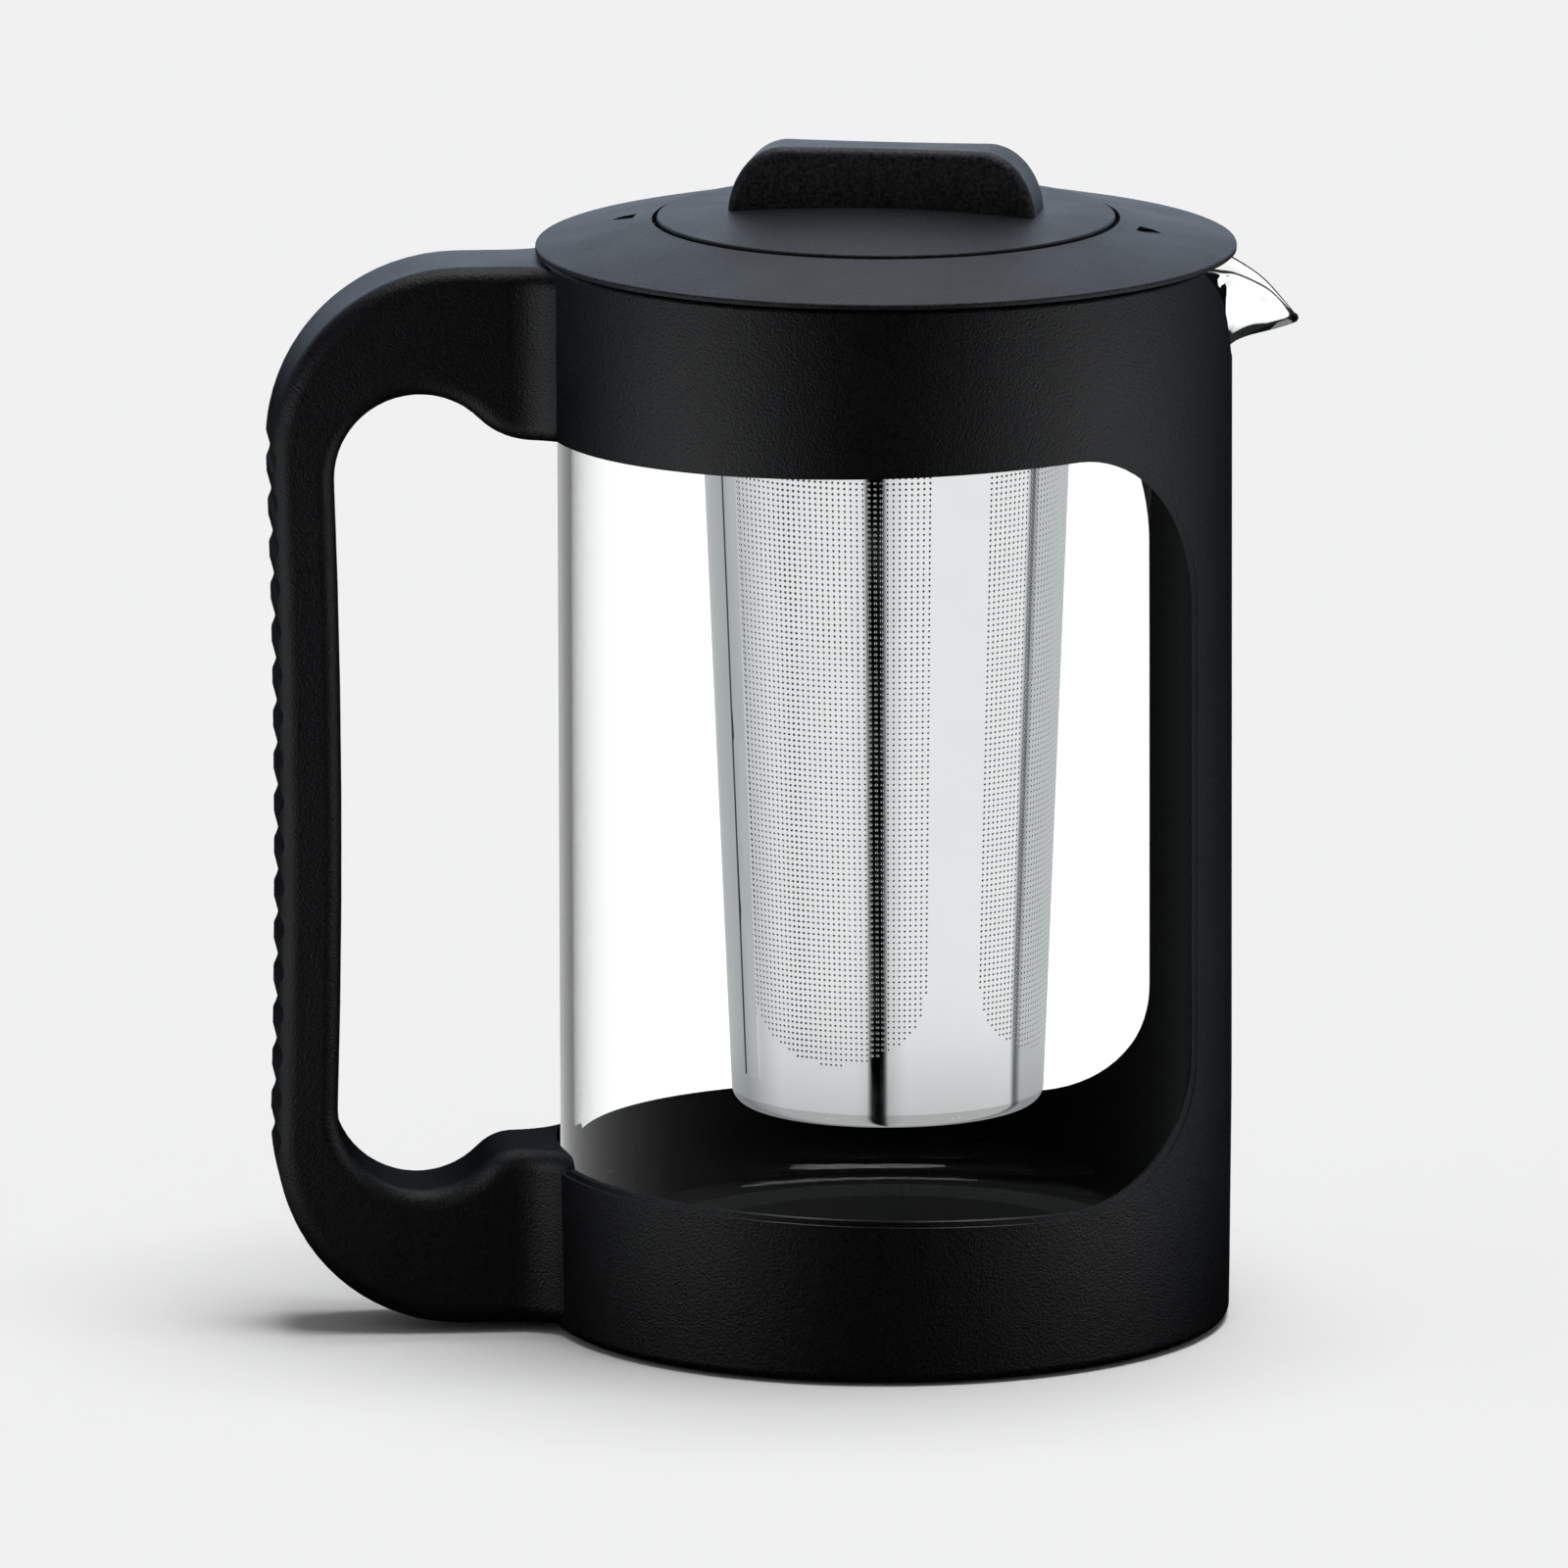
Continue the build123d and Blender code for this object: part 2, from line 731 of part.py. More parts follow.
def lid_cover():
    """Outer cover of the lid, sloping up to the well that takes the cap."""
    rim = (lid_radius, lid_bottom + lid_rim_height)
    shoulder = (lid_radius - lid_shoulder_inset, lid_bottom + lid_shoulder_rise)
    inner = (lid_inner_radius, lid_bottom + lid_inner_rise)
    outline = side_face([
        Line((lid_radius, lid_bottom), rim),
        ThreePointArc(rim, shoulder, inner),
        Line(inner, (lid_inner_radius, collar_top)),
        Line((lid_inner_radius, collar_top), (collar_outer, collar_top)),
        Line((collar_outer, collar_top), (collar_outer, lid_bottom)),
        Line((collar_outer, lid_bottom), (lid_radius, lid_bottom)),
    ])
    cover = revolve(outline, Axis.Z)
    cover = fillet(rim_edges(cover, rim[1], lid_radius), lid_rim_round)
    floor = lid_slope_z(mark_circle_radius) - mark_depth
    for angle in azimuths(mark_count):
        cover -= at_azimuth(angle, mark_circle_radius, Pos(0, 0, floor) * mark())
    return Rot(0, 0, lid_turn_at_rest) * cover


def pie(radius, start, sweep, low, high):
    """Pie slice about the carafe's axis between two heights."""
    arc = CenterArc((0, 0), radius, start, sweep)
    face = make_face([Line((0, 0), arc @ 0), arc, Line(arc @ 1, (0, 0))])
    return Pos(0, 0, low) * extrude(face, amount=high - low)


def bayonet_space():
    """Entry notches and locking tracks for the cap's two lugs."""
    entry = lug_angle + 2 * lug_gap_angle
    low = lug_bottom - lug_gap
    high = lug_bottom + lug_height + lug_gap
    spaces = []
    for angle in azimuths(lug_count):
        start = angle - entry / 2
        spaces.append(pie(track_radius, start, entry, low, cutter_height))
        spaces.append(pie(track_radius, start - cap_turn_range, entry + cap_turn_range, low, high))
    return spaces


def pour_slots():
    """Slots through the skirt on the spout's side and the handle's side."""
    high = lid_bottom - pour_slot_top_depth
    slot = Box(4 * skirt_wall, pour_slot_width, pour_slot_height, align=ON_FLOOR)
    first = -pour_slot_angle * (pour_slot_count - 1) / 2
    slots = []
    for side in azimuths(pour_side_count):
        for step in range(pour_slot_count):
            angle = side + first + pour_slot_angle * step
            slots.append(at_azimuth(angle, skirt_radius, Pos(0, 0, high - pour_slot_height) * slot))
    return slots


def lid_plug():
    """Inner part of the lid: web, skirt with pour slots and the collar for filter and cap."""
    groove_low = skirt_bottom + seal_groove_lift
    groove_high = groove_low + seal_groove_height
    plug = ring(web_radius, collar_bore, web_bottom, lid_bottom)
    plug += ring(skirt_radius, skirt_radius - skirt_wall, skirt_bottom, lid_bottom)
    plug += ring(collar_outer, collar_bore, collar_foot, collar_top)
    plug += ring(collar_outer, filter_ledge_inner, collar_foot, filter_ledge_top)
    plug -= ring(cutter_radius, skirt_radius - seal_groove_depth, groove_low, groove_high)
    plug -= pour_slots()
    plug -= bayonet_space()
    return Rot(0, 0, lid_turn_at_rest) * plug


def lid_seal():
    """Soft seal in the skirt's groove with two upturned fins."""
    inner = skirt_radius - seal_groove_depth + running_gap
    outer = inner + seal_band_wall
    tip = glass_bore - seal_fin_gap
    low = skirt_bottom + seal_groove_lift + running_gap
    high = skirt_bottom + seal_groove_lift + seal_groove_height - running_gap
    seal = ring(outer, inner, low, high)
    for step in range(seal_fin_count):
        root = low + seal_fin_pitch * step
        seal += turned([
            (inner, root),
            (outer, root),
            (tip, root + seal_fin_rise),
            (tip, root + seal_fin_rise + seal_fin_thickness),
            (outer, root + seal_fin_thickness),
            (inner, root + seal_fin_thickness),
        ])
    return seal


# Filter

def filter_radius(height):
    """Outer radius of the filter's tapered tube at a height."""
    return filter_low_radius + filter_taper * (height - filter_low_z)


def tapered_shell(inner_extra, outer_extra, low, high):
    """Tapered shell that follows the filter's tube between two heights."""
    return turned([
        (filter_radius(low) + inner_extra, low),
        (filter_radius(low) + outer_extra, low),
        (filter_radius(high) + outer_extra, high),
        (filter_radius(high) + inner_extra, high),
    ])


def filter_tube():
    """Tapered sheet tube that is perforated on the real object."""
    return tapered_shell(-filter_sheet, 0.0, filter_low_z, flange_bottom)


def filter_rim():
    """Rim of the filter: flange with a rolled edge and a short neck round the tube."""
    inner = filter_radius(flange_bottom) - filter_sheet
    rim = ring(flange_radius, inner, flange_bottom, flange_bottom + filter_sheet)
    rim += ring(flange_radius, flange_radius - filter_bead_width, flange_bottom, bead_top)
    neck_low = flange_bottom - filter_neck_height
    return rim + tapered_shell(0.0, filter_sheet, neck_low, flange_bottom + filter_sheet / 2)


def filter_seam():
    """Welded lap running down the tube between its rim and its cup."""
    low = filter_low_z + filter_cup_lap
    high = flange_bottom - filter_neck_height
    shell = tapered_shell(0.0, filter_seam_thickness, low, high)
    lane = Box(2 * flange_radius, filter_seam_width, high, align=(Align.MIN, Align.CENTER, Align.MIN))
    return shell & Rot(0, 0, filter_seam_azimuth) * lane


def filter_cup():
    """Closed cup whose wall laps inside the tube and whose foot is flush with it."""
    bottom = filter_low_z - filter_cup_drop
    top = filter_low_z + filter_cup_lap
    floor = bottom + filter_sheet
    foot_radius = filter_radius(bottom)
    outside = turned([
        (0, bottom),
        (foot_radius, bottom),
        (filter_radius(filter_low_z), filter_low_z),
        (filter_radius(filter_low_z) - filter_sheet, filter_low_z),
        (filter_radius(top) - filter_sheet, top),
        (0, top),
    ])
    outside = fillet(rim_edges(outside, bottom, foot_radius), filter_cup_corner)
    floor_radius = filter_radius(floor) - 2 * filter_sheet
    top_radius = filter_radius(top) - 2 * filter_sheet
    inside = turned([(0, floor), (floor_radius, floor), (top_radius, top), (0, top)])
    inside = fillet(rim_edges(inside, floor, floor_radius), filter_cup_corner - filter_sheet)
    return outside - inside


def filter_seal():
    """Soft ring under the filter's flange."""
    outer = flange_radius - filter_seal_inset
    return ring(outer, outer - filter_seal_width, filter_ledge_top, flange_bottom)


# Cap

def dome_face(radius):
    """Half section of the cap's disc, from its flat underside to its shallow dome."""
    sphere = (cap_radius ** 2 + cap_dome_height ** 2) / (2 * cap_dome_height)
    middle_x = radius / 2
    middle_z = cap_top - sphere + math.sqrt(sphere ** 2 - middle_x ** 2)
    return side_face([
        Line((0, plug_top), (radius, plug_top)),
        Line((radius, plug_top), (radius, cap_edge_top)),
        ThreePointArc((radius, cap_edge_top), (middle_x, middle_z), (0, cap_top)),
        Line((0, cap_top), (0, plug_top)),
    ])


def cap_disc():
    """Shallow domed disc that fills the lid's well."""
    plate = revolve(dome_face(cap_radius), Axis.Z)
    plate = fillet(rim_edges(plate, cap_edge_top, cap_radius), cap_edge_round)
    return Rot(0, 0, lid_turn_at_rest) * (plate - placed_cap_screws())


def cap_plug():
    """Plug that hangs under the disc, with two bayonet lugs and a groove for its seal."""
    plug = ring(plug_radius, plug_radius - plug_wall, plug_foot, plug_top)
    plug += disc(plug_radius, plug_top - plug_plate, plug_top)
    for angle in azimuths(lug_count):
        lug = pie(lug_radius, angle - lug_angle / 2, lug_angle, lug_bottom, lug_bottom + lug_height)
        plug += lug - disc(plug_radius - plug_wall / 2, 0, cutter_height)
    groove_low = plug_foot + cap_seal_lift
    groove_high = groove_low + cap_seal_height
    plug -= ring(cutter_radius, plug_radius - cap_seal_depth, groove_low, groove_high)
    return Rot(0, 0, lid_turn_at_rest) * (plug - placed_cap_screws())


def cap_seal():
    """Soft ring in the plug's groove."""
    low = plug_foot + cap_seal_lift + running_gap
    high = plug_foot + cap_seal_lift + cap_seal_height - running_gap
    inner = plug_radius - cap_seal_depth + running_gap
    return ring(plug_radius + cap_seal_reach, inner, low, high)


def grip_side():
    """Side outline of the grip bar, with elliptical shoulders."""
    half = grip_length / 2
    flat = half - grip_shoulder
    rise = grip_top - cap_edge_top
    return side_face([
        Line((-half, cap_edge_top), (half, cap_edge_top)),
        EllipticalCenterArc((flat, cap_edge_top), grip_shoulder, rise, 0, arc_size=90),
        Line((flat, grip_top), (-flat, grip_top)),
        EllipticalCenterArc((-flat, cap_edge_top), grip_shoulder, rise, 90, arc_size=90),
    ])


def grip_plan():
    """Plan of the grip bar, drawn in at the waist."""
    half = grip_length / 2
    side = grip_width / 2
    waist = side - grip_waist
    return make_face([
        ThreePointArc((-half, side), (0, waist), (half, side)),
        Line((half, side), (half, -side)),
        ThreePointArc((half, -side), (0, -waist), (-half, -side)),
        Line((-half, -side), (-half, side)),
    ])


def cap_grip():
    """Grip bar seated on the disc's dome, its long edges rounded."""
    bar = slab(grip_side(), 2 * grip_width) & extrude(grip_plan(), amount=cutter_height)
    edges = [
        edge for edge in bar.edges()
        if edge.center().Z > cap_edge_top + grip_edge_round and abs(edge.center().Y) > grip_waist
    ]
    bar = fillet(edges, grip_edge_round)
    bar -= revolve(dome_face(cap_radius), Axis.Z)
    return Rot(0, 0, lid_turn_at_rest) * (bar - placed_cap_screws())


def cap_screws():
    """Both cap screws, turned with the cap."""
    return Compound(children=[Rot(0, 0, lid_turn_at_rest) * one for one in placed_cap_screws()])


def base_screws():
    """All base screws."""
    return Compound(children=placed_base_screws())


handle = handle_body()
pieces = {
    "carafe_frame": carafe_frame(handle),
    "handle_grip_strip": handle_grip_strip(handle),
    "glass_carafe": glass_carafe(),
    "glass_collar": glass_collar(),
    "glass_cushion": glass_cushion(),
    "base_cover": base_cover(),
    "base_screws": base_screws(),
    "base_pad": base_pad(),
    "lid_cover": lid_cover(),
    "lid_plug": lid_plug(),
    "lid_seal": lid_seal(),
    "filter_rim": filter_rim(),
    "filter_tube": filter_tube(),
    "filter_seam": filter_seam(),
    "filter_cup": filter_cup(),
    "filter_seal": filter_seal(),
    "cap_disc": cap_disc(),
    "cap_grip": cap_grip(),
    "cap_plug": cap_plug(),
    "cap_seal": cap_seal(),
    "cap_screws": cap_screws(),
}

os.makedirs("parts", exist_ok=True)
for name, piece in pieces.items():
    export_step(piece, "parts/" + name + ".step")
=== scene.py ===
import logging
import math
from dataclasses import dataclass, field
from enum import Enum

import bpy
import numpy as np
from mathutils import Matrix, Vector


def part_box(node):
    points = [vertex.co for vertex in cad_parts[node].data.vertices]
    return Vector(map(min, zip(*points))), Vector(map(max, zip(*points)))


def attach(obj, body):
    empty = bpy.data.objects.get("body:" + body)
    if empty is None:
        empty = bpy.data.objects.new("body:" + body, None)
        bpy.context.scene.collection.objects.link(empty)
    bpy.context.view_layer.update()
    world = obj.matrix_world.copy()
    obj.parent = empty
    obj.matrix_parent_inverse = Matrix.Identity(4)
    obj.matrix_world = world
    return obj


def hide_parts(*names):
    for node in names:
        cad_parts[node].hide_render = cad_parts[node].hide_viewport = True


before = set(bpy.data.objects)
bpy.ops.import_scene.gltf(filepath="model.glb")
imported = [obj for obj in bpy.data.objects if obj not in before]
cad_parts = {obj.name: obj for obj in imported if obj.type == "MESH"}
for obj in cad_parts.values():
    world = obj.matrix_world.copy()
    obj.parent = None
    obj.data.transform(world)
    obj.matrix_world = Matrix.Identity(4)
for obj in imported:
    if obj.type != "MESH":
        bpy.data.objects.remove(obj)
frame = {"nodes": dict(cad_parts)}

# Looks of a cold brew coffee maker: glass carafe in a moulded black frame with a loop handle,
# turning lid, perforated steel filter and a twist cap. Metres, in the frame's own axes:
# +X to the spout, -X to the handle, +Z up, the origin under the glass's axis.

logging.basicConfig(level=logging.INFO, format="%(message)s")
log = logging.getLogger("coffee_maker")

MM = 0.001
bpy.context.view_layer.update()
Point = tuple[float, float, float]
# Angles in degrees, each with the tone of a glow there
Tones = tuple[tuple[float, float], ...]
# Blender's noise lies mostly between these two values
NOISE_LOW = 0.3
NOISE_HIGH = 0.7
# A ray's depth is a whole number, and this tells none from one or more
ANY_DEPTH = 0.5


class Grain(Enum):
    """Ways in which a moulded surface is textured."""

    FINE = "fine"
    SMOOTH = "smooth"


class Body(Enum):
    """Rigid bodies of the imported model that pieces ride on."""

    CARAFE = "carafe"
    LID = "lid"
    FILTER = "filter"
    CAP = "cap"


# Shader helpers

@dataclass
class ShaderTree:
    """Node tree of a material or of the world, with short ways to add and join nodes."""

    owner: bpy.types.Material | bpy.types.World
    output_kind: str = "ShaderNodeOutputMaterial"

    def __post_init__(self) -> None:
        """Start from an empty tree with an output node."""
        self.owner.use_nodes = True
        self.tree = self.owner.node_tree
        self.tree.nodes.clear()
        self.output = self.tree.nodes.new(self.output_kind)

    def add(self, kind: str, **values: object) -> bpy.types.Node:
        """Add a node and set its sockets or properties.

        Args:
            kind: Blender's class name of the node.
            values: Socket names, with spaces as underscores, or property names, and their values.

        Returns:
            The new node.
        """
        node = self.tree.nodes.new(kind)
        for name, value in values.items():
            socket = node.inputs.get(name.replace("_", " "))
            if socket is None:
                setattr(node, name, value)
            else:
                socket.default_value = value
        return node

    def join(self, source: bpy.types.NodeSocket, target: bpy.types.NodeSocket) -> None:
        """Link one socket to another."""
        self.tree.links.new(source, target)

    def reckon(self, operation: str, *terms: bpy.types.NodeSocket | float) -> bpy.types.NodeSocket:
        """Add a sum, product or comparison.

        Args:
            operation: Blender's name of the operation.
            terms: What goes in, each a socket or a number.

        Returns:
            The result.
        """
        node = self.add("ShaderNodeMath", operation=operation)
        for term, socket in zip(terms, node.inputs):
            if isinstance(term, bpy.types.NodeSocket):
                self.join(term, socket)
            else:
                socket.default_value = term
        return node.outputs["Value"]

    def coordinates(self) -> bpy.types.NodeSocket:
        """Give the object's own coordinates in metres."""
        return self.add("ShaderNodeTexCoord").outputs["Object"]

    def noise(self, place: bpy.types.NodeSocket, size: float, detail: float = 2.0) -> bpy.types.NodeSocket:
        """Add a noise pattern of a real size.

        Args:
            place: Coordinates in metres.
            size: Rough width of one spot, in metres.
            detail: Octaves of finer noise.

        Returns:
            The pattern's value from 0 to 1.
        """
        node = self.add("ShaderNodeTexNoise", Scale=1.0 / size, Detail=detail)
        self.join(place, node.inputs["Vector"])
        return node.outputs["Fac"]

    def spread(self, value: bpy.types.NodeSocket, low: float, high: float) -> bpy.types.NodeSocket:
        """Map a noise value to a range.

        Args:
            value: The noise.
            low: Result for its dark spots.
            high: Result for its bright spots.

        Returns:
            The mapped value.
        """
        node = self.add("ShaderNodeMapRange", From_Min=NOISE_LOW, From_Max=NOISE_HIGH)
        node.inputs["To Min"].default_value = low
        node.inputs["To Max"].default_value = high
        self.join(value, node.inputs["Value"])
        return node.outputs["Result"]

    def relief(self, height: bpy.types.NodeSocket, depth: float,
               strength: float = 1.0) -> bpy.types.NodeSocket:
        """Turn a height into a bumped normal.

        Args:
            height: Height from 0 to 1.
            depth: Real depth of the relief, in metres.
            strength: How much of it shows.

        Returns:
            The bumped normal.
        """
        node = self.add("ShaderNodeBump", Strength=strength, Distance=depth)
        self.join(height, node.inputs["Height"])
        return node.outputs["Normal"]

    def step(self, value: bpy.types.NodeSocket, low: float, high: float) -> bpy.types.NodeSocket:
        """Add a smooth step.

        Args:
            value: What decides it.
            low: Value up to which the result is 0.
            high: Value from which the result is 1.

        Returns:
            The share from 0 to 1.
        """
        node = self.add("ShaderNodeMapRange", interpolation_type="SMOOTHSTEP", From_Min=low, From_Max=high)
        self.join(value, node.inputs["Value"])
        return node.outputs["Result"]

    def blend(self, share: bpy.types.NodeSocket, first: bpy.types.NodeSocket,
              second: bpy.types.NodeSocket) -> bpy.types.NodeSocket:
        """Mix two shaders.

        Args:
            share: Share of the second, from 0 to 1.
            first: Shader that shows at 0.
            second: Shader that shows at 1.

        Returns:
            The mixed shader.
        """
        node = self.add("ShaderNodeMixShader")
        self.join(share, node.inputs["Fac"])
        self.join(first, node.inputs[1])
        self.join(second, node.inputs[2])
        return node.outputs["Shader"]

    def finish(self, shader: bpy.types.NodeSocket) -> bpy.types.Material | bpy.types.World:
        """Send a shader to the output and give the material or world that has it."""
        self.join(shader, self.output.inputs["Surface"])
        return self.owner


def fresh(name: str) -> ShaderTree:
    """Start a new material.

    Args:
        name: Its name in plain words.

    Returns:
        Its empty node tree.
    """
    return ShaderTree(bpy.data.materials.new(name))


# Finishes

@dataclass(frozen=True)
class MouldedPlastic:
    """Moulded plastic with a fine spark-eroded grain and slight handling marks."""

    name: str
    colour: Point
    roughness: float = 0.36
    shine: float = 0.08
    grain: Grain = Grain.FINE
    grain_size: float = 0.4 * MM
    grain_depth: float = 0.15 * MM
    grain_detail: float = 3.0
    grain_contrast: float = 4.5
    grain_shade: float = 0.15
    grain_reach: float = 0.8
    smooth_size: float = 4.0 * MM
    smooth_detail: float = 4.0
    mark_size: float = 12.0 * MM
    mark_detail: float = 5.0
    mark_spread: tuple[float, float] = (-0.03, 0.04)

    def build(self) -> bpy.types.Material:
        """Make the material.

        Returns:
            The material, which keeps its shine only where it isn't seen through glass.
        """
        tree = fresh(self.name)
        place = tree.coordinates()
        shader = tree.add("ShaderNodeBsdfPrincipled")
        path = tree.add("ShaderNodeLightPath")
        in_the_open = tree.reckon("LESS_THAN", path.outputs["Transmission Depth"], ANY_DEPTH)
        tree.join(tree.reckon("MULTIPLY", in_the_open, self.shine), shader.inputs["Specular IOR Level"])
        ramp = tree.add("ShaderNodeMix", data_type="RGBA")
        ramp.inputs["A"].default_value = (*(channel * self.grain_shade for channel in self.colour), 1.0)
        ramp.inputs["B"].default_value = (*(channel * self.grain_contrast for channel in self.colour), 1.0)
        if self.grain is Grain.SMOOTH:
            speck = tree.noise(place, self.smooth_size, self.smooth_detail)
        else:
            speck = tree.noise(place, self.grain_size, self.grain_detail)
            tree.join(tree.relief(speck, self.grain_depth), shader.inputs["Normal"])
        tree.join(tree.spread(speck, 0.0, self.grain_reach), ramp.inputs["Factor"])
        tree.join(ramp.outputs["Result"], shader.inputs["Base Color"])
        marks = tree.noise(place, self.mark_size, self.mark_detail)
        low, high = (self.roughness + change for change in self.mark_spread)
        tree.join(tree.spread(marks, low, high), shader.inputs["Roughness"])
        return tree.finish(shader.outputs["BSDF"])


@dataclass(frozen=True)
class Silicone:
    """Soft moulded silicone with a dull skin."""

    name: str
    colour: Point
    roughness: float = 0.6
    roughness_change: float = 0.06
    shine: float = 0.2
    cloud_size: float = 3.0 * MM
    cloud_detail: float = 4.0
    skin_size: float = 0.6 * MM
    skin_depth: float = 0.03 * MM
    skin_strength: float = 0.5

    def build(self) -> bpy.types.Material:
        """Make the material."""
        tree = fresh(self.name)
        place = tree.coordinates()
        shader = tree.add("ShaderNodeBsdfPrincipled", Specular_IOR_Level=self.shine)
        shader.inputs["Base Color"].default_value = (*self.colour, 1.0)
        clouds = tree.noise(place, self.cloud_size, self.cloud_detail)
        low = self.roughness - self.roughness_change
        high = self.roughness + self.roughness_change
        tree.join(tree.spread(clouds, low, high), shader.inputs["Roughness"])
        skin = tree.relief(tree.noise(place, self.skin_size), self.skin_depth, self.skin_strength)
        tree.join(skin, shader.inputs["Normal"])
        return tree.finish(shader.outputs["BSDF"])


@dataclass(frozen=True)
class ClearGlass:
    """Clear borosilicate glass that lets lamp light through to what is inside."""

    name: str = "carafe_glass"
    index: float = 1.47
    tint: Point = (0.95, 0.968, 0.96)
    face_shine: Point = (0.05, 0.05, 0.05)
    wave_size: float = 40.0 * MM
    wave_detail: float = 1.0
    wave_depth: float = 0.04 * MM
    wave_strength: float = 0.25

    def build(self) -> bpy.types.Material:
        """Make the material.

        Returns:
            Glass that bends the view, and lets shadow and diffuse rays go straight through.
        """
        tree = fresh(self.name)
        glass = tree.add("ShaderNodeBsdfPrincipled", Roughness=0.0, IOR=self.index)
        glass.inputs["Base Color"].default_value = (*self.tint, 1.0)
        glass.inputs["Transmission Weight"].default_value = 1.0
        glass.inputs["Specular Tint"].default_value = (*self.face_shine, 1.0)
        waves = tree.noise(tree.coordinates(), self.wave_size, self.wave_detail)
        tree.join(tree.relief(waves, self.wave_depth, self.wave_strength), glass.inputs["Normal"])
        clear = tree.add("ShaderNodeBsdfTransparent")
        clear.inputs["Color"].default_value = (*self.tint, 1.0)
        path = tree.add("ShaderNodeLightPath")
        through = tree.reckon("MAXIMUM", path.outputs["Is Shadow Ray"], path.outputs["Is Diffuse Ray"])
        return tree.finish(tree.blend(through, glass.outputs["BSDF"], clear.outputs["BSDF"]))


@dataclass(frozen=True)
class StainlessSteel:
    """Bright rolled stainless sheet with faint upright draw lines and smudges."""

    name: str
    colour: Point = (0.8, 0.81, 0.82)
    roughness: float = 0.07
    worn_share: float = 0.93
    worn_size: float = 12.0 * MM
    worn_detail: float = 4.0
    draw_width: float = 0.5 * MM
    draw_stretch: float = 0.02
    draw_change: float = 0.02
    draw_depth: float = 0.0015 * MM
    draw_strength: float = 0.3
    smudge_size: float = 9.0 * MM
    smudge_detail: float = 4.0
    smudge_spread: tuple[float, float] = (-0.02, 0.04)

    def build(self) -> bpy.types.Material:
        """Make the material.

        Returns:
            The material, whose draw lines run along Z.
        """
        tree = fresh(self.name)
        place = tree.coordinates()
        stretch = tree.add("ShaderNodeVectorMath", operation="MULTIPLY")
        stretch.inputs[1].default_value = (1.0, 1.0, self.draw_stretch)
        tree.join(place, stretch.inputs[0])
        shader = tree.add("ShaderNodeBsdfPrincipled", Metallic=1.0)
        tint = tree.add("ShaderNodeMix", data_type="RGBA")
        tint.inputs["A"].default_value = (*(channel * self.worn_share for channel in self.colour), 1.0)
        tint.inputs["B"].default_value = (*self.colour, 1.0)
        tree.join(tree.noise(place, self.worn_size, self.worn_detail), tint.inputs["Factor"])
        tree.join(tint.outputs["Result"], shader.inputs["Base Color"])
        lines = tree.noise(stretch.outputs["Vector"], self.draw_width)
        smudge = tree.noise(place, self.smudge_size, self.smudge_detail)
        low, high = (self.roughness + change for change in self.smudge_spread)
        drawn = tree.spread(lines, -self.draw_change, self.draw_change)
        both = tree.reckon("ADD", drawn, tree.spread(smudge, low, high))
        tree.join(both, shader.inputs["Roughness"])
        tree.join(tree.relief(lines, self.draw_depth, self.draw_strength), shader.inputs["Normal"])
        return tree.finish(shader.outputs["BSDF"])


@dataclass(frozen=True)
class Finishes:
    """All the materials of the coffee maker."""

    frame: bpy.types.Material
    grip: bpy.types.Material
    lid: bpy.types.Material
    bar: bpy.types.Material
    inner: bpy.types.Material
    silicone: bpy.types.Material
    glass: bpy.types.Material
    steel: bpy.types.Material
    # Darker steel on the filter's inner face and deep hole walls: painted shade for the unlit inside of the
    # tube
    painted_shade_steel: bpy.types.Material
    dark_weld: bpy.types.Material
    screw: bpy.types.Material


def make_finishes() -> Finishes:
    """Make every material once.

    Returns:
        The materials by what they cover.
    """
    return Finishes(
        frame=MouldedPlastic("frame_black", (0.0016, 0.0016, 0.0019)).build(),
        grip=MouldedPlastic("grip_strip_black", (0.0018, 0.0018, 0.002), roughness=0.46).build(),
        lid=MouldedPlastic(
            "lid_black", (0.009, 0.0095, 0.011), roughness=0.44, shine=0.1, grain_contrast=1.6,
        ).build(),
        bar=MouldedPlastic(
            "cap_bar_black", (0.009, 0.0092, 0.01), roughness=0.44, shine=0.1, grain_size=0.6 * MM,
            grain_depth=0.14 * MM, grain_contrast=4.0,
        ).build(),
        inner=MouldedPlastic(
            "inner_black", (0.003, 0.003, 0.0033), roughness=0.3, grain=Grain.SMOOTH,
        ).build(),
        silicone=Silicone("seal_dark", (0.006, 0.006, 0.007)).build(),
        glass=ClearGlass().build(),
        steel=StainlessSteel("filter_steel").build(),
        # The filter's inside gets a darker steel: painted shade where the tube's inside is unlit
        painted_shade_steel=StainlessSteel("filter_inside_painted_shade_steel", (0.3, 0.31, 0.32), roughness=0.35).build(),
        dark_weld=StainlessSteel("filter_weld_steel", (0.08, 0.085, 0.09), roughness=0.4).build(),
        screw=StainlessSteel("screw_steel", roughness=0.3).build(),
    )


# Mesh helpers

def new_piece(name: str, points: np.ndarray, faces: list[tuple[int, ...]], material: bpy.types.Material,
              sharp_angle: float = 35.0) -> bpy.types.Object:
    """Make a mesh object from points and faces.

    Args:
        name: Name of the piece.
        points: Rows of x, y and z in metres.
        faces: Corner numbers of each face, seen from outside.
        material: Its finish.
        sharp_angle: Edges that turn more than this, in degrees, stay crisp.

    Returns:
        The object, linked to the scene.
    """
    mesh = bpy.data.meshes.new(name)
    mesh.from_pydata(points.tolist(), [], faces)
    mesh.materials.append(material)
    mesh.polygons.foreach_set("use_smooth", np.ones(len(faces), dtype=bool))
    mesh.set_sharp_from_angle(angle=math.radians(sharp_angle))
    mesh.update()
    piece = bpy.data.objects.new(name, mesh)
    bpy.context.scene.collection.objects.link(piece)
    log.info("%s: %d points, %d faces", name, len(points), len(faces))
    return piece


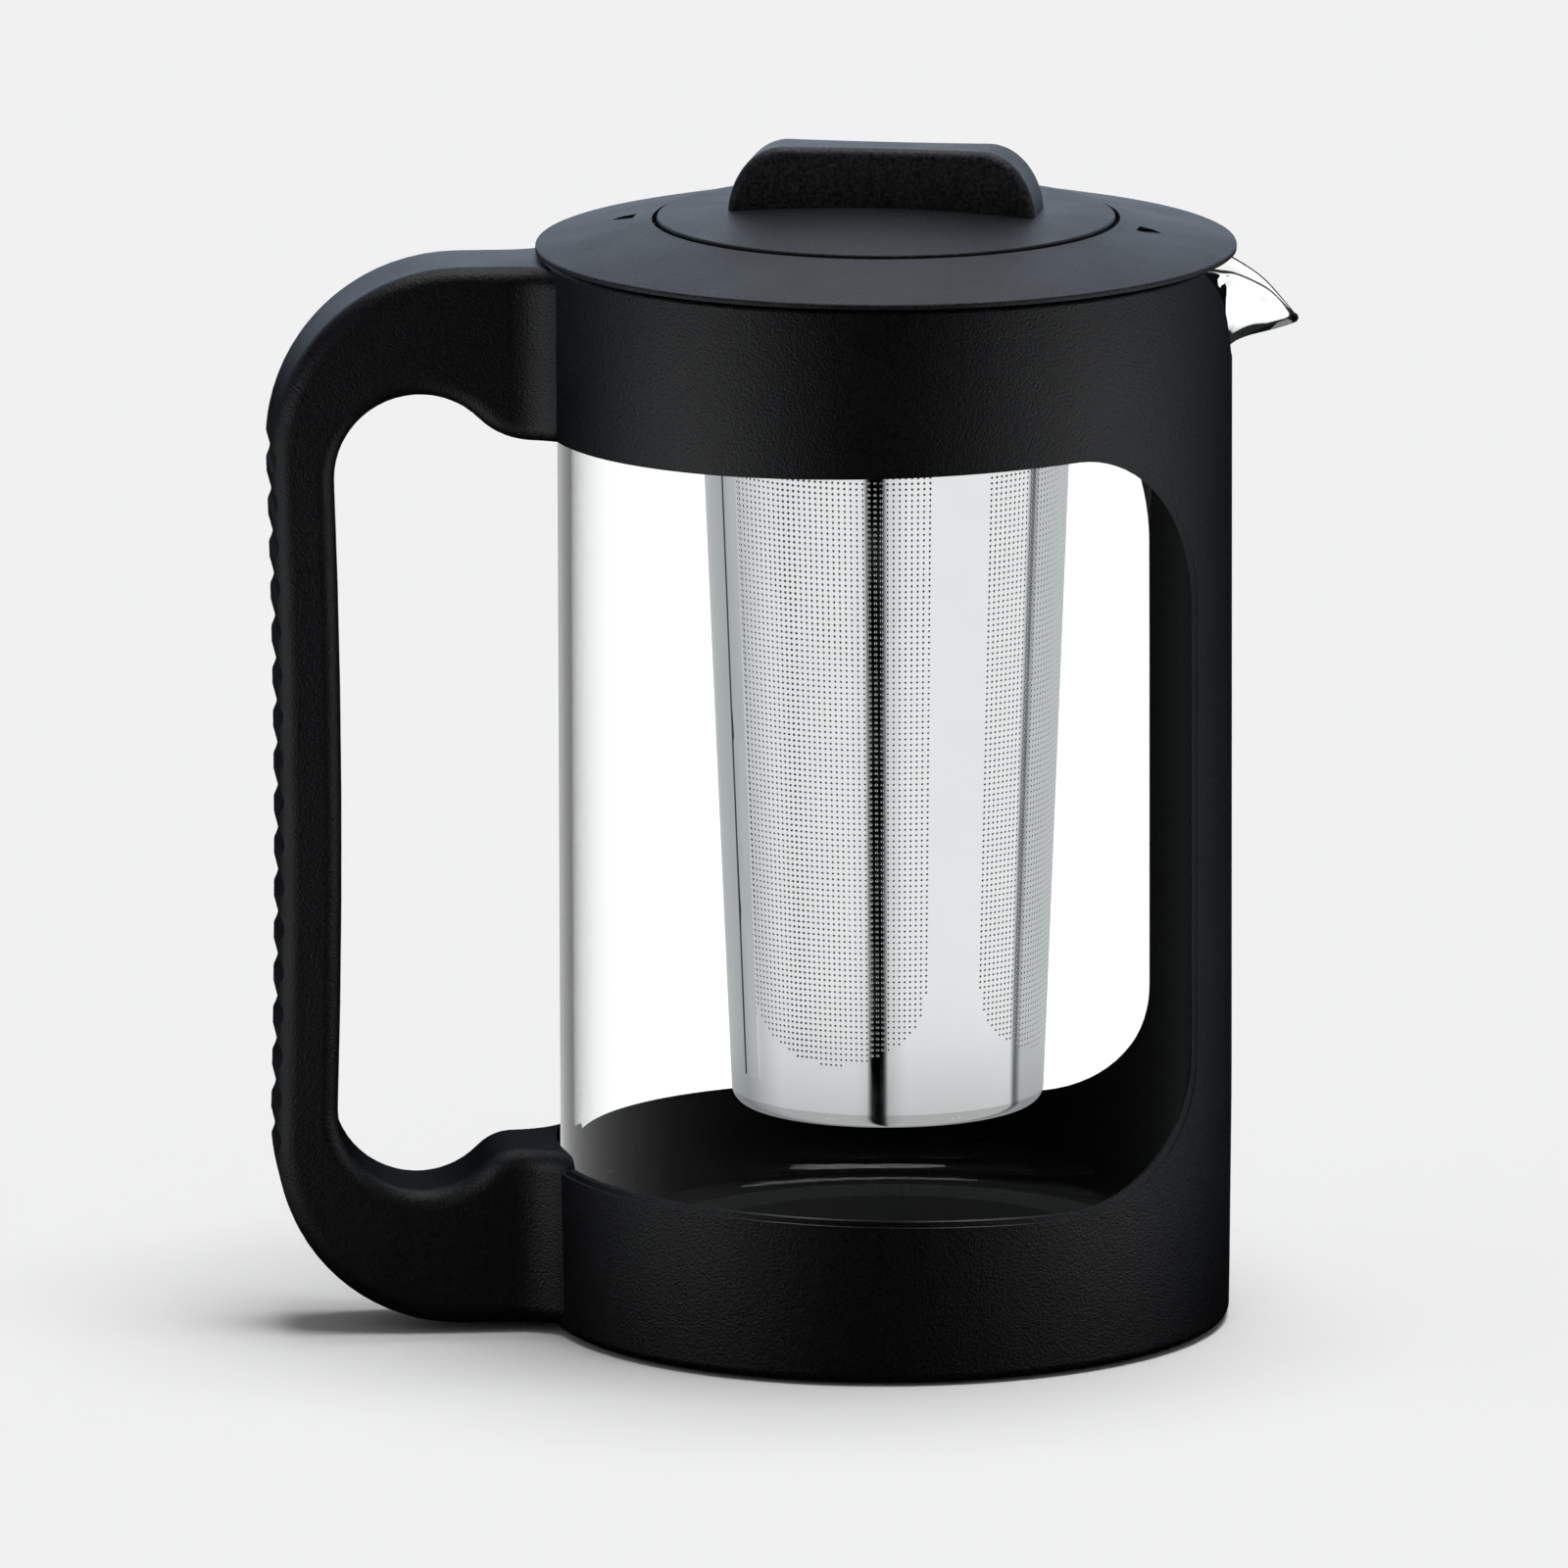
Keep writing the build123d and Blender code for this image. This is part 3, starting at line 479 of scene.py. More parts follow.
def dress(node: str, material: bpy.types.Material) -> bpy.types.Object:
    """Give a CAD node its finish.

    Args:
        node: Name of the node.
        material: The finish.

    Returns:
        The node's object.
    """
    piece = frame["nodes"][node]
    piece.data.materials.clear()
    piece.data.materials.append(material)
    log.info("%s: %s", node, material.name)
    return piece


def unit_ring(sides: int) -> np.ndarray:
    """Give the points of a flat ring with a radius of one.

    Args:
        sides: How many points it has.

    Returns:
        Rows of x, y and z.
    """
    turns = np.linspace(0, 2 * math.pi, sides, endpoint=False)
    return np.column_stack([np.cos(turns), np.sin(turns), np.zeros(sides)])


def smooth_line(points: list[Point], count: int, samples: int = 40) -> np.ndarray:
    """Run an even, smooth line through points.

    Args:
        points: The points it goes through.
        count: How many points to give back.
        samples: How many points to try for each point given.

    Returns:
        Rows of x, y and z, evenly spread by the chord length.
    """
    known = np.array(points, dtype=float)
    ends = np.vstack([2 * known[0] - known[1], known, 2 * known[-1] - known[-2]])
    steps = np.linspace(0, len(known) - 1, samples * len(known))
    index = np.minimum(steps.astype(int), len(known) - 2)
    t = (steps - index)[:, None]
    a, b, c, d = (ends[index + shift] for shift in range(4))
    line = 0.5 * (2 * b + (c - a) * t + (2 * a - 5 * b + 4 * c - d) * t ** 2
                  + (3 * b - a - 3 * c + d) * t ** 3)
    reach = np.concatenate([[0], np.cumsum(np.linalg.norm(np.diff(line, axis=0), axis=1))])
    wanted = np.linspace(0, reach[-1], count)
    return np.stack([np.interp(wanted, reach, line[:, axis]) for axis in range(3)], axis=1)


# Glass

@dataclass
class GlassCarafe:
    """Glass of the carafe, with its thick floor and the spout pulled out of the rim."""

    wall: float = 2.1 * MM
    lip_wall: float = 1.7 * MM
    floor: float = 3.5 * MM
    corner: float = 9.0 * MM
    columns: int = 540
    corner_steps: int = 10
    spout_rows: int = 36
    rim_steps: int = 8
    spout_start: float = 26.0 * MM
    spout_half_angle: float = 25.0
    keel_rise: float = 13.4 * MM
    keel_run: float = 9.5 * MM
    keel_direction: Point = (0.95, 0.0, 0.31)
    keel_fading: float = 1.5
    rim_drop: float = 0.5 * MM
    shoulder_share: float = 0.75
    shoulder_drop: float = 0.5 * MM
    lip_samples: int = 400
    flat_shares: tuple[float, ...] = (0.25, 0.5, 0.75)
    sharp_angle: float = 80.0
    lip_points: list[Point] = field(default_factory=lambda: [
        (13.3 * MM, 0.0, -11.9 * MM),
        (12.9 * MM, 1.4 * MM, -11.5 * MM),
        (11.3 * MM, 3.4 * MM, -9.5 * MM),
        (8.0 * MM, 6.1 * MM, -5.9 * MM),
        (3.2 * MM, 9.7 * MM, -2.9 * MM),
        (0.6 * MM, 12.4 * MM, -1.8 * MM),
    ])

    def __post_init__(self) -> None:
        """Take the radius and heights from the CAD solid."""
        low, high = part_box("glass_carafe")
        self.radius = (high.y - low.y) / 2
        self.bottom = low.z
        self.rim_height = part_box("carafe_frame")[1].z - self.rim_drop

    def lip(self, share: np.ndarray) -> np.ndarray:
        """Give the lip line's points for shares of the spout's half angle, from tip to wall.

        Args:
            share: Values from 0 at the tip to 1 where the plain wall begins.

        Returns:
            Rows of x, y and z.
        """
        top = self.rim_height - self.lip_wall / 2
        points = [(self.radius + x, y, top + z) for x, y, z in self.lip_points]
        for part, drop in ((self.shoulder_share, self.shoulder_drop), (1.0, 0.0)):
            turn = math.radians(self.spout_half_angle * part)
            points.append((self.radius * math.cos(turn), self.radius * math.sin(turn), top - drop))
        line = smooth_line(points, self.lip_samples)
        known = np.linspace(0, 1, self.lip_samples)
        return np.stack([np.interp(share, known, line[:, axis]) for axis in range(3)], axis=1)

    def outer_sheet(self) -> np.ndarray:
        """Give the outer surface above the spout's start, as rows by columns of points.

        Returns:
            Array of rows, columns and x, y, z.
        """
        angles = np.linspace(-math.pi, math.pi, self.columns, endpoint=False)
        half = math.radians(self.spout_half_angle)
        share = np.clip(np.abs(angles) / half, 0, 1)
        ring = np.stack([np.cos(angles), np.sin(angles)], axis=1) * self.radius
        start_z = self.rim_height - self.spout_start
        rise = (self.rim_height - self.lip_wall / 2 - start_z) / 3
        start = np.column_stack([ring, np.full(self.columns, start_z)])
        finish = np.column_stack([ring, np.full(self.columns, start_z + 3 * rise)])
        inside = share < 1
        lip = self.lip(share[inside])
        lip[:, 1] *= np.sign(angles[inside])
        finish[inside] = lip
        blend = (1 - share)[:, None] ** self.keel_fading
        upwards = np.array((0.0, 0.0, 1.0))
        direction = blend * np.array(self.keel_direction) + (1 - blend) * upwards
        direction /= np.linalg.norm(direction, axis=1)[:, None]
        first = start + upwards * (rise + blend * (self.keel_rise - rise))
        second = finish - direction * (rise + blend * (self.keel_run - rise))
        t = np.linspace(0, 1, self.spout_rows)[:, None, None]
        return ((1 - t) ** 3 * start + 3 * t * (1 - t) ** 2 * first
                + 3 * t ** 2 * (1 - t) * second + t ** 3 * finish)

    def build(self, material: bpy.types.Material) -> bpy.types.Object:
        """Make the glass as one closed mesh.

        Args:
            material: The glass.

        Returns:
            The object.
        """
        sheet = self.outer_sheet()
        along = np.gradient(sheet, axis=0)
        across = np.roll(sheet, -1, axis=1) - np.roll(sheet, 1, axis=1)
        normal = np.cross(across, along)
        normal /= np.linalg.norm(normal, axis=2)[:, :, None]
        tangent = along[-1] / np.linalg.norm(along[-1], axis=1)[:, None]
        t = np.linspace(0, 1, self.spout_rows)[:, None, None]
        thick = self.wall + (self.lip_wall - self.wall) * t
        inner = sheet - normal * thick
        middle = (sheet[-1] + inner[-1]) / 2
        half = self.lip_wall / 2
        rim = []
        for step in range(1, self.rim_steps):
            turn = math.pi * step / self.rim_steps
            rim.append(middle + normal[-1] * half * math.cos(turn) + tangent * half * math.sin(turn))
        rows = self.plain_rows(self.radius, self.bottom, self.corner)
        rows += list(sheet) + rim + list(inner[::-1])
        hollow = self.plain_rows(self.radius - self.wall, self.bottom + self.floor, self.corner - self.wall)
        rows += hollow[::-1]
        return self.close(np.array(rows), material)

    def plain_rows(self, radius: float, low: float, corner: float) -> list[np.ndarray]:
        """Give the round rows from the foot's flat up to just below the spout's start.

        Args:
            radius: Radius of the wall.
            low: Height of the flat.
            corner: Radius of the rounded corner.

        Returns:
            Rows of points, from the flat upwards.
        """
        angles = np.linspace(-math.pi, math.pi, self.columns, endpoint=False)
        profile = [((radius - corner) * share, low) for share in self.flat_shares]
        for step in range(self.corner_steps + 1):
            turn = math.pi / 2 * step / self.corner_steps
            profile.append((radius - corner + corner * math.sin(turn), low + corner * (1 - math.cos(turn))))
        top = self.rim_height - self.spout_start
        profile += [(radius, low + corner + (top - low - corner) * share) for share in self.flat_shares]
        return [
            np.column_stack([np.cos(angles) * r, np.sin(angles) * r, np.full(self.columns, z)])
            for r, z in profile
        ]

    def close(self, rows: np.ndarray, material: bpy.types.Material) -> bpy.types.Object:
        """Join rows of rings into a closed mesh with a point at the middle of each end.

        Args:
            rows: Array of rows, columns and x, y, z.
            material: The glass.

        Returns:
            The object.
        """
        count, columns = rows.shape[:2]
        points = np.vstack([rows.reshape(-1, 3), [(0, 0, rows[0, 0, 2]), (0, 0, rows[-1, 0, 2])]])
        faces = []
        for row in range(count - 1):
            low = row * columns
            high = low + columns
            for column in range(columns):
                beside = (column + 1) % columns
                faces.append((low + column, low + beside, high + beside, high + column))
        first_centre = count * columns
        last = (count - 1) * columns
        for column in range(columns):
            beside = (column + 1) % columns
            faces.append((first_centre, beside, column))
            faces.append((first_centre + 1, last + column, last + beside))
        return new_piece("carafe_glass_body", points, faces, material, self.sharp_angle)


# Filter

@dataclass
class PerforatedTube:
    """Tapered filter tube in four quarters, each with one perforated panel and plain lands."""

    sheet: float = 0.5 * MM
    low_radius: float = 25.75 * MM
    taper: float = 0.0412
    pitch: float = 0.95 * MM
    mouth_radius: float = 0.26 * MM
    hole_radius: float = 0.18 * MM
    mouth_depth: float = 0.05 * MM
    hole_sides: int = 6
    quarters: int = 4
    panel_angle: float = 69.0
    first_panel_middle: float = 245.0
    panel_foot: float = 7.0 * MM
    panel_head: float = 12.0 * MM
    foot_round_height: float = 12.3 * MM
    weld_azimuth: float = 204.0
    weld_radius: float = 0.17 * MM
    weld_rise: float = 0.4 * MM
    weld_flatness: float = 0.7
    weld_sides: int = 8
    weld_steps: int = 40
    sharp_angle: float = 30.0

    def __post_init__(self) -> None:
        """Take the heights from the CAD solid and lay out the grid of holes."""
        low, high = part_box("filter_tube")
        self.low = low.z
        self.high = high.z
        mean_radius = self.low_radius + self.taper * (self.high - self.low) / 2
        self.columns = round(math.radians(360 / self.quarters) * mean_radius / self.pitch)
        self.rows = round((self.high - self.low) / self.pitch)
        self.panel_columns = round(self.columns * self.panel_angle * self.quarters / 360)

    def at(self, azimuth: np.ndarray, height: np.ndarray, depth: float) -> np.ndarray:
        """Place points on the tapered wall.

        Args:
            azimuth: Angles in radians.
            height: Heights in metres.
            depth: How far below the outer face, in metres.

        Returns:
            Rows of x, y and z.
        """
        radius = self.low_radius + self.taper * (height - self.low) - depth
        return np.stack([radius * np.cos(azimuth), radius * np.sin(azimuth), height], axis=-1)

    def holed(self, row: int, column: int) -> bool:
        """Say whether a cell of the grid has a hole.

        Args:
            row: Cell's row from the foot.
            column: Cell's column in its quarter.

        Returns:
            True inside the panel's outline, which is rounded at its foot.
        """
        side = self.columns / 2
        across = (column + 0.5 - side) / (self.panel_columns / 2)
        if abs(across) > 1:
            return False
        height = (row + 0.5) * self.pitch
        foot = self.panel_foot + self.foot_round_height * (1 - math.sqrt(1 - across ** 2))
        return foot < height < self.high - self.low - self.panel_head

    def build(self, steel: bpy.types.Material, inside: bpy.types.Material) -> list[bpy.types.Object]:
        """Make the quarters.

        Args:
            steel: The bright outer face.
            inside: Darker steel for the inner face and the deep walls of the holes, painted shade for the
                tube's unlit inside.

        Returns:
            One object for each quarter.
        """
        return [self.quarter(index, steel, inside) for index in range(self.quarters)]

    def quarter(self, index: int, steel: bpy.types.Material,
                inside: bpy.types.Material) -> bpy.types.Object:
        """Make one quarter as a closed sheet with real holes, each with a bevelled mouth.

        Args:
            index: Number of the quarter.
            steel: The bright outer face.
            inside: Darker steel for the inner face and the deep walls of the holes, painted shade for the
                tube's unlit inside.

        Returns:
            The object.
        """
        span = math.radians(360 / self.quarters)
        middle = math.radians(self.first_panel_middle) + span * index
        azimuths = middle - span / 2 + span * np.arange(self.columns + 1) / self.columns
        heights = self.low + (self.high - self.low) * np.arange(self.rows + 1) / self.rows
        corner_azimuth, corner_height = np.meshgrid(azimuths, heights)
        outer = self.at(corner_azimuth, corner_height, 0.0).reshape(-1, 3)
        inner = self.at(corner_azimuth, corner_height, self.sheet).reshape(-1, 3)
        points = [outer, inner]
        used = 2 * len(outer)
        bright: list[tuple[int, ...]] = []
        # Faces listed in dull get the darker steel, painted shade for the tube's unlit inside
        dull: list[tuple[int, ...]] = []
        turns = 2 * math.pi * np.arange(self.hole_sides) / self.hole_sides
        rings = (
            (self.mouth_radius, 0.0),
            (self.hole_radius, self.mouth_depth),
            (self.hole_radius, self.sheet),
        )
        for row in range(self.rows):
            for column in range(self.columns):
                corners = self.cell_corners(row, column)
                deep = tuple(corner + len(outer) for corner in corners)
                if not self.holed(row, column):
                    bright.append(corners)
                    dull.append(deep[::-1])
                    continue
                hole_azimuth = (azimuths[column] + azimuths[column + 1]) / 2
                hole_height = (heights[row] + heights[row + 1]) / 2
                radius = self.low_radius + self.taper * (hole_height - self.low)
                for size, depth in rings:
                    around = hole_azimuth + size * np.cos(turns) / radius
                    points.append(self.at(around, hole_height + size * np.sin(turns), depth))
                mouth, waist, foot = (
                    list(range(used + step * self.hole_sides, used + (step + 1) * self.hole_sides))
                    for step in range(len(rings))
                )
                used += len(rings) * self.hole_sides
                bright += self.cell_faces(corners, mouth) + self.band_faces(mouth, waist)
                # The deep hole walls and the inner face get the darker steel as painted shade
                dull += self.band_faces(waist, foot)
                dull += [face[::-1] for face in self.cell_faces(deep, foot)]
        bright += self.edge_faces(len(outer))
        name = f"filter_mesh_{index + 1}"
        piece = new_piece(name, np.vstack(points), bright + dull, steel, self.sharp_angle)
        piece.data.materials.append(inside)
        slots = np.concatenate([np.zeros(len(bright), dtype=np.int32), np.ones(len(dull), dtype=np.int32)])
        piece.data.polygons.foreach_set("material_index", slots)
        return piece

    def weld(self, material: bpy.types.Material) -> bpy.types.Object:
        """Make the thin weld line that runs up the tube between two panels.

        Args:
            material: The duller steel.

        Returns:
            A slender closed bead, half sunk in the seam's outer face.
        """
        foot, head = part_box("filter_seam")
        heights = np.linspace(foot.z + self.weld_radius, head.z - self.weld_radius, self.weld_steps)
        turns = 2 * math.pi * np.arange(self.weld_sides) / self.weld_sides
        rings = []
        for height in heights:
            radius = self.low_radius + self.taper * (height - self.low)
            azimuth = math.radians(self.weld_azimuth) + self.weld_radius * np.sin(turns) / radius
            depth = -self.weld_rise - self.weld_radius * np.cos(turns) * self.weld_flatness
            rings.append(self.at(azimuth, np.full(self.weld_sides, height), depth))
        faces: list[tuple[int, ...]] = []
        for step in range(self.weld_steps - 1):
            start = step * self.weld_sides
            for side in range(self.weld_sides):
                beside = (side + 1) % self.weld_sides
                above = start + self.weld_sides
                faces.append((start + side, start + beside, above + beside, above + side))
        last = (self.weld_steps - 1) * self.weld_sides
        faces.append(tuple(reversed(range(self.weld_sides))))
        faces.append(tuple(range(last, last + self.weld_sides)))
        return new_piece("filter_weld_line", np.vstack(rings), faces, material)

    def cell_corners(self, row: int, column: int) -> tuple[int, int, int, int]:
        """Give the numbers of a cell's corners on the outer face.

        Args:
            row: Cell's row from the foot.
            column: Cell's column in its quarter.

        Returns:
            The low left, low right, high right and high left corner, seen from outside.
        """
        width = self.columns + 1
        low = row * width + column
        return (low, low + 1, low + width + 1, low + width)

    def cell_faces(self, corners: tuple[int, ...], ring: list[int]) -> list[tuple[int, ...]]:
        """Give the faces of a cell round its six-sided hole, which has a point at each side.

        Args:
            corners: The cell's corners, from the low left.
            ring: Points of the hole, from the right upwards.

        Returns:
            The faces.
        """
        low_left, low_right, high_right, high_left = corners
        right, high_near, high_far, left, low_far, low_near = ring
        return [
            (low_left, low_right, low_near, low_far),
            (high_right, high_left, high_far, high_near),
            (low_right, right, low_near),
            (low_right, high_right, right),
            (high_right, high_near, right),
            (high_left, left, high_far),
            (high_left, low_left, left),
            (low_left, low_far, left),
        ]

    def band_faces(self, front: list[int], back: list[int]) -> list[tuple[int, ...]]:
        """Join a ring of a hole to the next, deeper one.

        Args:
            front: Points of the nearer ring.
            back: Points of the deeper ring.

        Returns:
            The faces.
        """
        faces = []
        for step in range(self.hole_sides):
            after = (step + 1) % self.hole_sides
            faces.append((front[step], front[after], back[after], back[step]))
        return faces

    def edge_faces(self, depth: int) -> list[tuple[int, ...]]:
        """Close the quarter's four edges.

        Args:
            depth: Count of outer corners, which is the step to an inner corner's number.

        Returns:
            The faces.
        """
        width = self.columns + 1
        faces = []
        for column in range(self.columns):
            faces.append((column + depth, column + 1 + depth, column + 1, column))
            top = self.rows * width + column
            faces.append((top, top + 1, top + 1 + depth, top + depth))
        for row in range(self.rows):
            left = row * width
            faces.append((left, left + width, left + width + depth, left + depth))
            right = left + self.columns
            faces.append((right + depth, right + width + depth, right + width, right))
        return faces


# Sub-assemblies

@dataclass
class Carafe:
    """Frame, handle strip, glass and base."""

    finishes: Finishes
    glass: GlassCarafe = field(default_factory=GlassCarafe)

    def build(self) -> None:
        """Dress the CAD nodes and make the glass."""
        dress("carafe_frame", self.finishes.frame).visible_glossy = False
        dress("handle_grip_strip", self.finishes.grip).visible_glossy = False
        dress("base_cover", self.finishes.inner).visible_glossy = False
        dress("base_pad", self.finishes.silicone).visible_glossy = False
        dress("base_screws", self.finishes.screw)
        dress("glass_collar", self.finishes.silicone)
        dress("glass_cushion", self.finishes.silicone).visible_glossy = False
        body = self.glass.build(self.finishes.glass)
        body.visible_glossy = False
        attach(body, Body.CARAFE.value)
        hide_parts("glass_carafe")


@dataclass
class Lid:
    """Cover, inner plug and seal."""

    finishes: Finishes

    def build(self) -> None:
        """Dress the CAD nodes."""
        dress("lid_cover", self.finishes.lid)
        dress("lid_plug", self.finishes.inner)
        dress("lid_seal", self.finishes.silicone)


@dataclass
class Filter:
    """Steel filter and its seal."""

    finishes: Finishes
    tube: PerforatedTube = field(default_factory=PerforatedTube)

    def build(self) -> None:
        """Dress the CAD nodes and make the perforated tube."""
        for node in ("filter_rim", "filter_seam", "filter_cup"):
            dress(node, self.finishes.steel)
        dress("filter_seal", self.finishes.silicone)
        # The inner face and deep hole walls take the darker steel, painted shade
        for quarter in self.tube.build(self.finishes.steel, self.finishes.painted_shade_steel):
            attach(quarter, Body.FILTER.value)
            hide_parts("filter_tube")
        weld = self.tube.weld(self.finishes.dark_weld)
        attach(weld, Body.FILTER.value)


@dataclass
class Cap:
    """Disc, grip bar, plug, seal and screws."""

    finishes: Finishes

    def build(self) -> None:
        """Dress the CAD nodes."""
        dress("cap_disc", self.finishes.lid)
        dress("cap_grip", self.finishes.bar)
        dress("cap_plug", self.finishes.inner)
        dress("cap_seal", self.finishes.silicone)
        dress("cap_screws", self.finishes.screw)


# Studio

@dataclass
class Studio:
    """Pale floor, soft light tent and the camera at the photograph's angle."""

    floor_radius: float = 9.0
    floor_sides: int = 96
    floor_colour: Point = (0.9, 0.9, 0.9)
    floor_through_glass: float = 1.3
    far_floor_through_glass: float = 0.92
    far_floor: tuple[float, float] = (0.76, 0.9)
    tent_radius: float = 0.24
    tent_height: float = 0.45
    tent_lift: float = 0.4 * MM
    tent_sides: int = 180
    tent_dark_radius: float = 0.1
    tent_wall_share: float = 0.98
    top_glow_heights: tuple[float, float] = (0.15, 0.2)
    steel_glow: Tones = (
        (-180.0, 0.6), (-118.0, 0.5), (-104.0, 0.66), (-80.0, 0.97), (-24.0, 1.04), (-14.0, 0.95),
        (-11.8, 0.0), (-2.0, 0.0), (0.0, 0.8), (12.0, 1.04), (96.0, 1.04), (99.5, 0.2),
        (102.5, 0.2), (108.0, 0.7), (180.0, 0.56),
    )
    side_glow: Tones = (
        (-180.0, 0.0), (-110.0, 0.0), (-92.0, 0.1), (-75.0, 0.55), (-50.0, 0.75), (-35.0, 0.2),
        (-18.0, 0.0), (15.0, 0.0), (35.0, 0.3), (55.0, 0.65), (75.0, 0.7), (92.0, 0.25),
        (110.0, 0.04), (140.0, 0.0), (180.0, 0.0),
    )
    top_glow: Tones = (
        (-180.0, 0.22), (-120.0, 0.11), (-70.0, 0.01), (60.0, 0.01), (110.0, 0.11), (180.0, 0.22),
    )
    glass_glow: Tones = (
        (-180.0, 0.1), (-150.0, 0.85), (-60.0, 0.85), (-10.0, 0.2), (60.0, 0.04), (150.0, 0.04),
        (180.0, 0.1),
    )
    tone_powers: Point = (1.08, 1.03, 1.0)
    plastic_strength: float = 8.0
    steel_low_strength: float = 0.5
    glass_inside_strength: float = 0.03
    wall_crossings: float = 2.5
    wall_crossings_margin: float = 1.0
    ceiling_strength: float = 3.0
    ambient_strength: float = 0.22
    backdrop_strength: float = 0.86
    top_tint: Point = (0.8, 0.87, 1.0)
    sky_tint: Point = (0.98, 0.99, 1.0)
    light_energy: float = 1.21
    light_width: float = 27.0
    light_tilts: tuple[tuple[str, float, float], ...] = (
        ("front_light", 9.0, 8.0),
        ("back_light", -6.0, 4.0),
    )
    camera_azimuth: float = 4.0
    camera_pitch: float = 11.294
    camera_roll: float = -0.161
    camera_distance: float = 4.4408
    camera_left: float = 0.01696
    camera_down: float = 0.00574
    camera_reach: float = 50.0
    target: Point = (0.0, 0.0, 0.095)
    lens: float = 619.74
    sensor: float = 36.0

    def build(self) -> None:
        """Make the floor, the lights and the camera."""
        self.make_floor()
        self.make_tent()
        self.make_world()
        self.make_lights()
        self.make_camera()

    def make_floor(self) -> None:
        """Make a large pale disc that the object stands on and that glows when seen through glass."""
        tree = fresh("studio_floor")
        shader = tree.add("ShaderNodeBsdfDiffuse")
        shader.inputs["Color"].default_value = (*self.floor_colour, 1.0)
        bright = tree.add("ShaderNodeEmission")
        reach = tree.add("ShaderNodeVectorMath", operation="LENGTH")
        tree.join(tree.coordinates(), reach.inputs[0])
        far = tree.step(reach.outputs["Value"], *self.far_floor)
        change = self.far_floor_through_glass - self.floor_through_glass
        strength = tree.reckon("MULTIPLY_ADD", far, change, self.floor_through_glass)
        tree.join(strength, bright.inputs["Strength"])
        through = tree.add("ShaderNodeLightPath").outputs["Is Transmission Ray"]
        seen = tree.blend(through, shader.outputs["BSDF"], bright.outputs["Emission"])
        points = unit_ring(self.floor_sides) * self.floor_radius
        floor = new_piece("studio_floor", points, [tuple(range(self.floor_sides))], tree.finish(seen))

    def tent_material(self) -> bpy.types.Material:
        """Make the tent's glow, which shows only in reflections.

        Returns:
            A material with one glow for the plastics, one for steel behind a wall of glass, which
            a ray crosses in two or three steps, and one for the glass itself.
        """
        tree = fresh("studio_tent")
        place = tree.add("ShaderNodeSeparateXYZ")
        tree.join(tree.coordinates(), place.inputs["Vector"])
        turn = tree.reckon("ARCTAN2", place.outputs["Y"], place.outputs["X"])
        share = tree.add("ShaderNodeMapRange", From_Min=-math.pi, From_Max=math.pi)
        tree.join(turn, share.inputs["Value"])
        around = share.outputs["Result"]
        flat = tree.add("ShaderNodeCombineXYZ")
        tree.join(place.outputs["X"], flat.inputs["X"])
        tree.join(place.outputs["Y"], flat.inputs["Y"])
        reach = tree.add("ShaderNodeVectorMath", operation="LENGTH")
        tree.join(flat.outputs["Vector"], reach.inputs[0])
        wall_radius = self.tent_radius * self.tent_wall_share
        wall = tree.step(reach.outputs["Value"], self.tent_dark_radius, wall_radius)
        path = tree.add("ShaderNodeLightPath")
        crossings = path.outputs["Transmission Depth"]
        entered = tree.reckon("GREATER_THAN", crossings, ANY_DEPTH)
        faint = self.glow(tree, around, self.steel_glow, self.glass_inside_strength)

        low = self.glow(tree, around, self.steel_glow, self.steel_low_strength)
        steel = tree.blend(wall, low, self.glow(tree, around, self.steel_glow))

        side = self.glow(tree, around, self.side_glow, self.plastic_strength)
        top = self.glow(tree, around, self.top_glow, self.plastic_strength, self.top_tint)
        plastic = tree.blend(tree.step(place.outputs["Z"], *self.top_glow_heights), side, top)
        dark = tree.add("ShaderNodeEmission", Strength=0.0)
        plastic = tree.blend(wall, dark.outputs["Emission"], plastic)
        plastic = tree.blend(entered, plastic, faint)

        glass = tree.blend(entered, self.glow(tree, around, self.glass_glow), faint)
        inside = tree.reckon("COMPARE", crossings, self.wall_crossings, self.wall_crossings_margin)
        shown = tree.blend(path.outputs["Is Singular Ray"], tree.blend(inside, plastic, steel), glass)
        mirrored = tree.reckon("GREATER_THAN", path.outputs["Glossy Depth"], ANY_DEPTH)
        clear = tree.add("ShaderNodeBsdfTransparent")
        return tree.finish(tree.blend(mirrored, clear.outputs["BSDF"], shown))

    def glow(self, tree: ShaderTree, around: bpy.types.NodeSocket, tones: Tones, strength: float = 1.0,
             tint: Point = (1.0, 1.0, 1.0)) -> bpy.types.NodeSocket:
        """Make a glow that changes round the tent and turns a little blue where it is dim.

        Args:
            tree: The tent's material.
            around: Share of a full turn, half of it being the camera's side.
            tones: Angles from the camera's side in degrees and the tone at each, in order.
            strength: Its strength where the tone is 1.
            tint: Its colour.

        Returns:
            The emission.
        """
        ramp = tree.add("ShaderNodeValToRGB")
        tree.join(around, ramp.inputs["Fac"])
        stops = ramp.color_ramp.elements
        while len(stops) < len(tones):
            stops.new(0.5)
        for stop, (angle, tone) in zip(stops, tones):
            stop.position = (angle + 180.0) / 360.0
            colour = (tone ** power * share for power, share in zip(self.tone_powers, tint))
            stop.color = (*colour, 1.0)
        node = tree.add("ShaderNodeEmission", Strength=strength)
        tree.join(ramp.outputs["Color"], node.inputs["Color"])
        return node.outputs["Emission"]

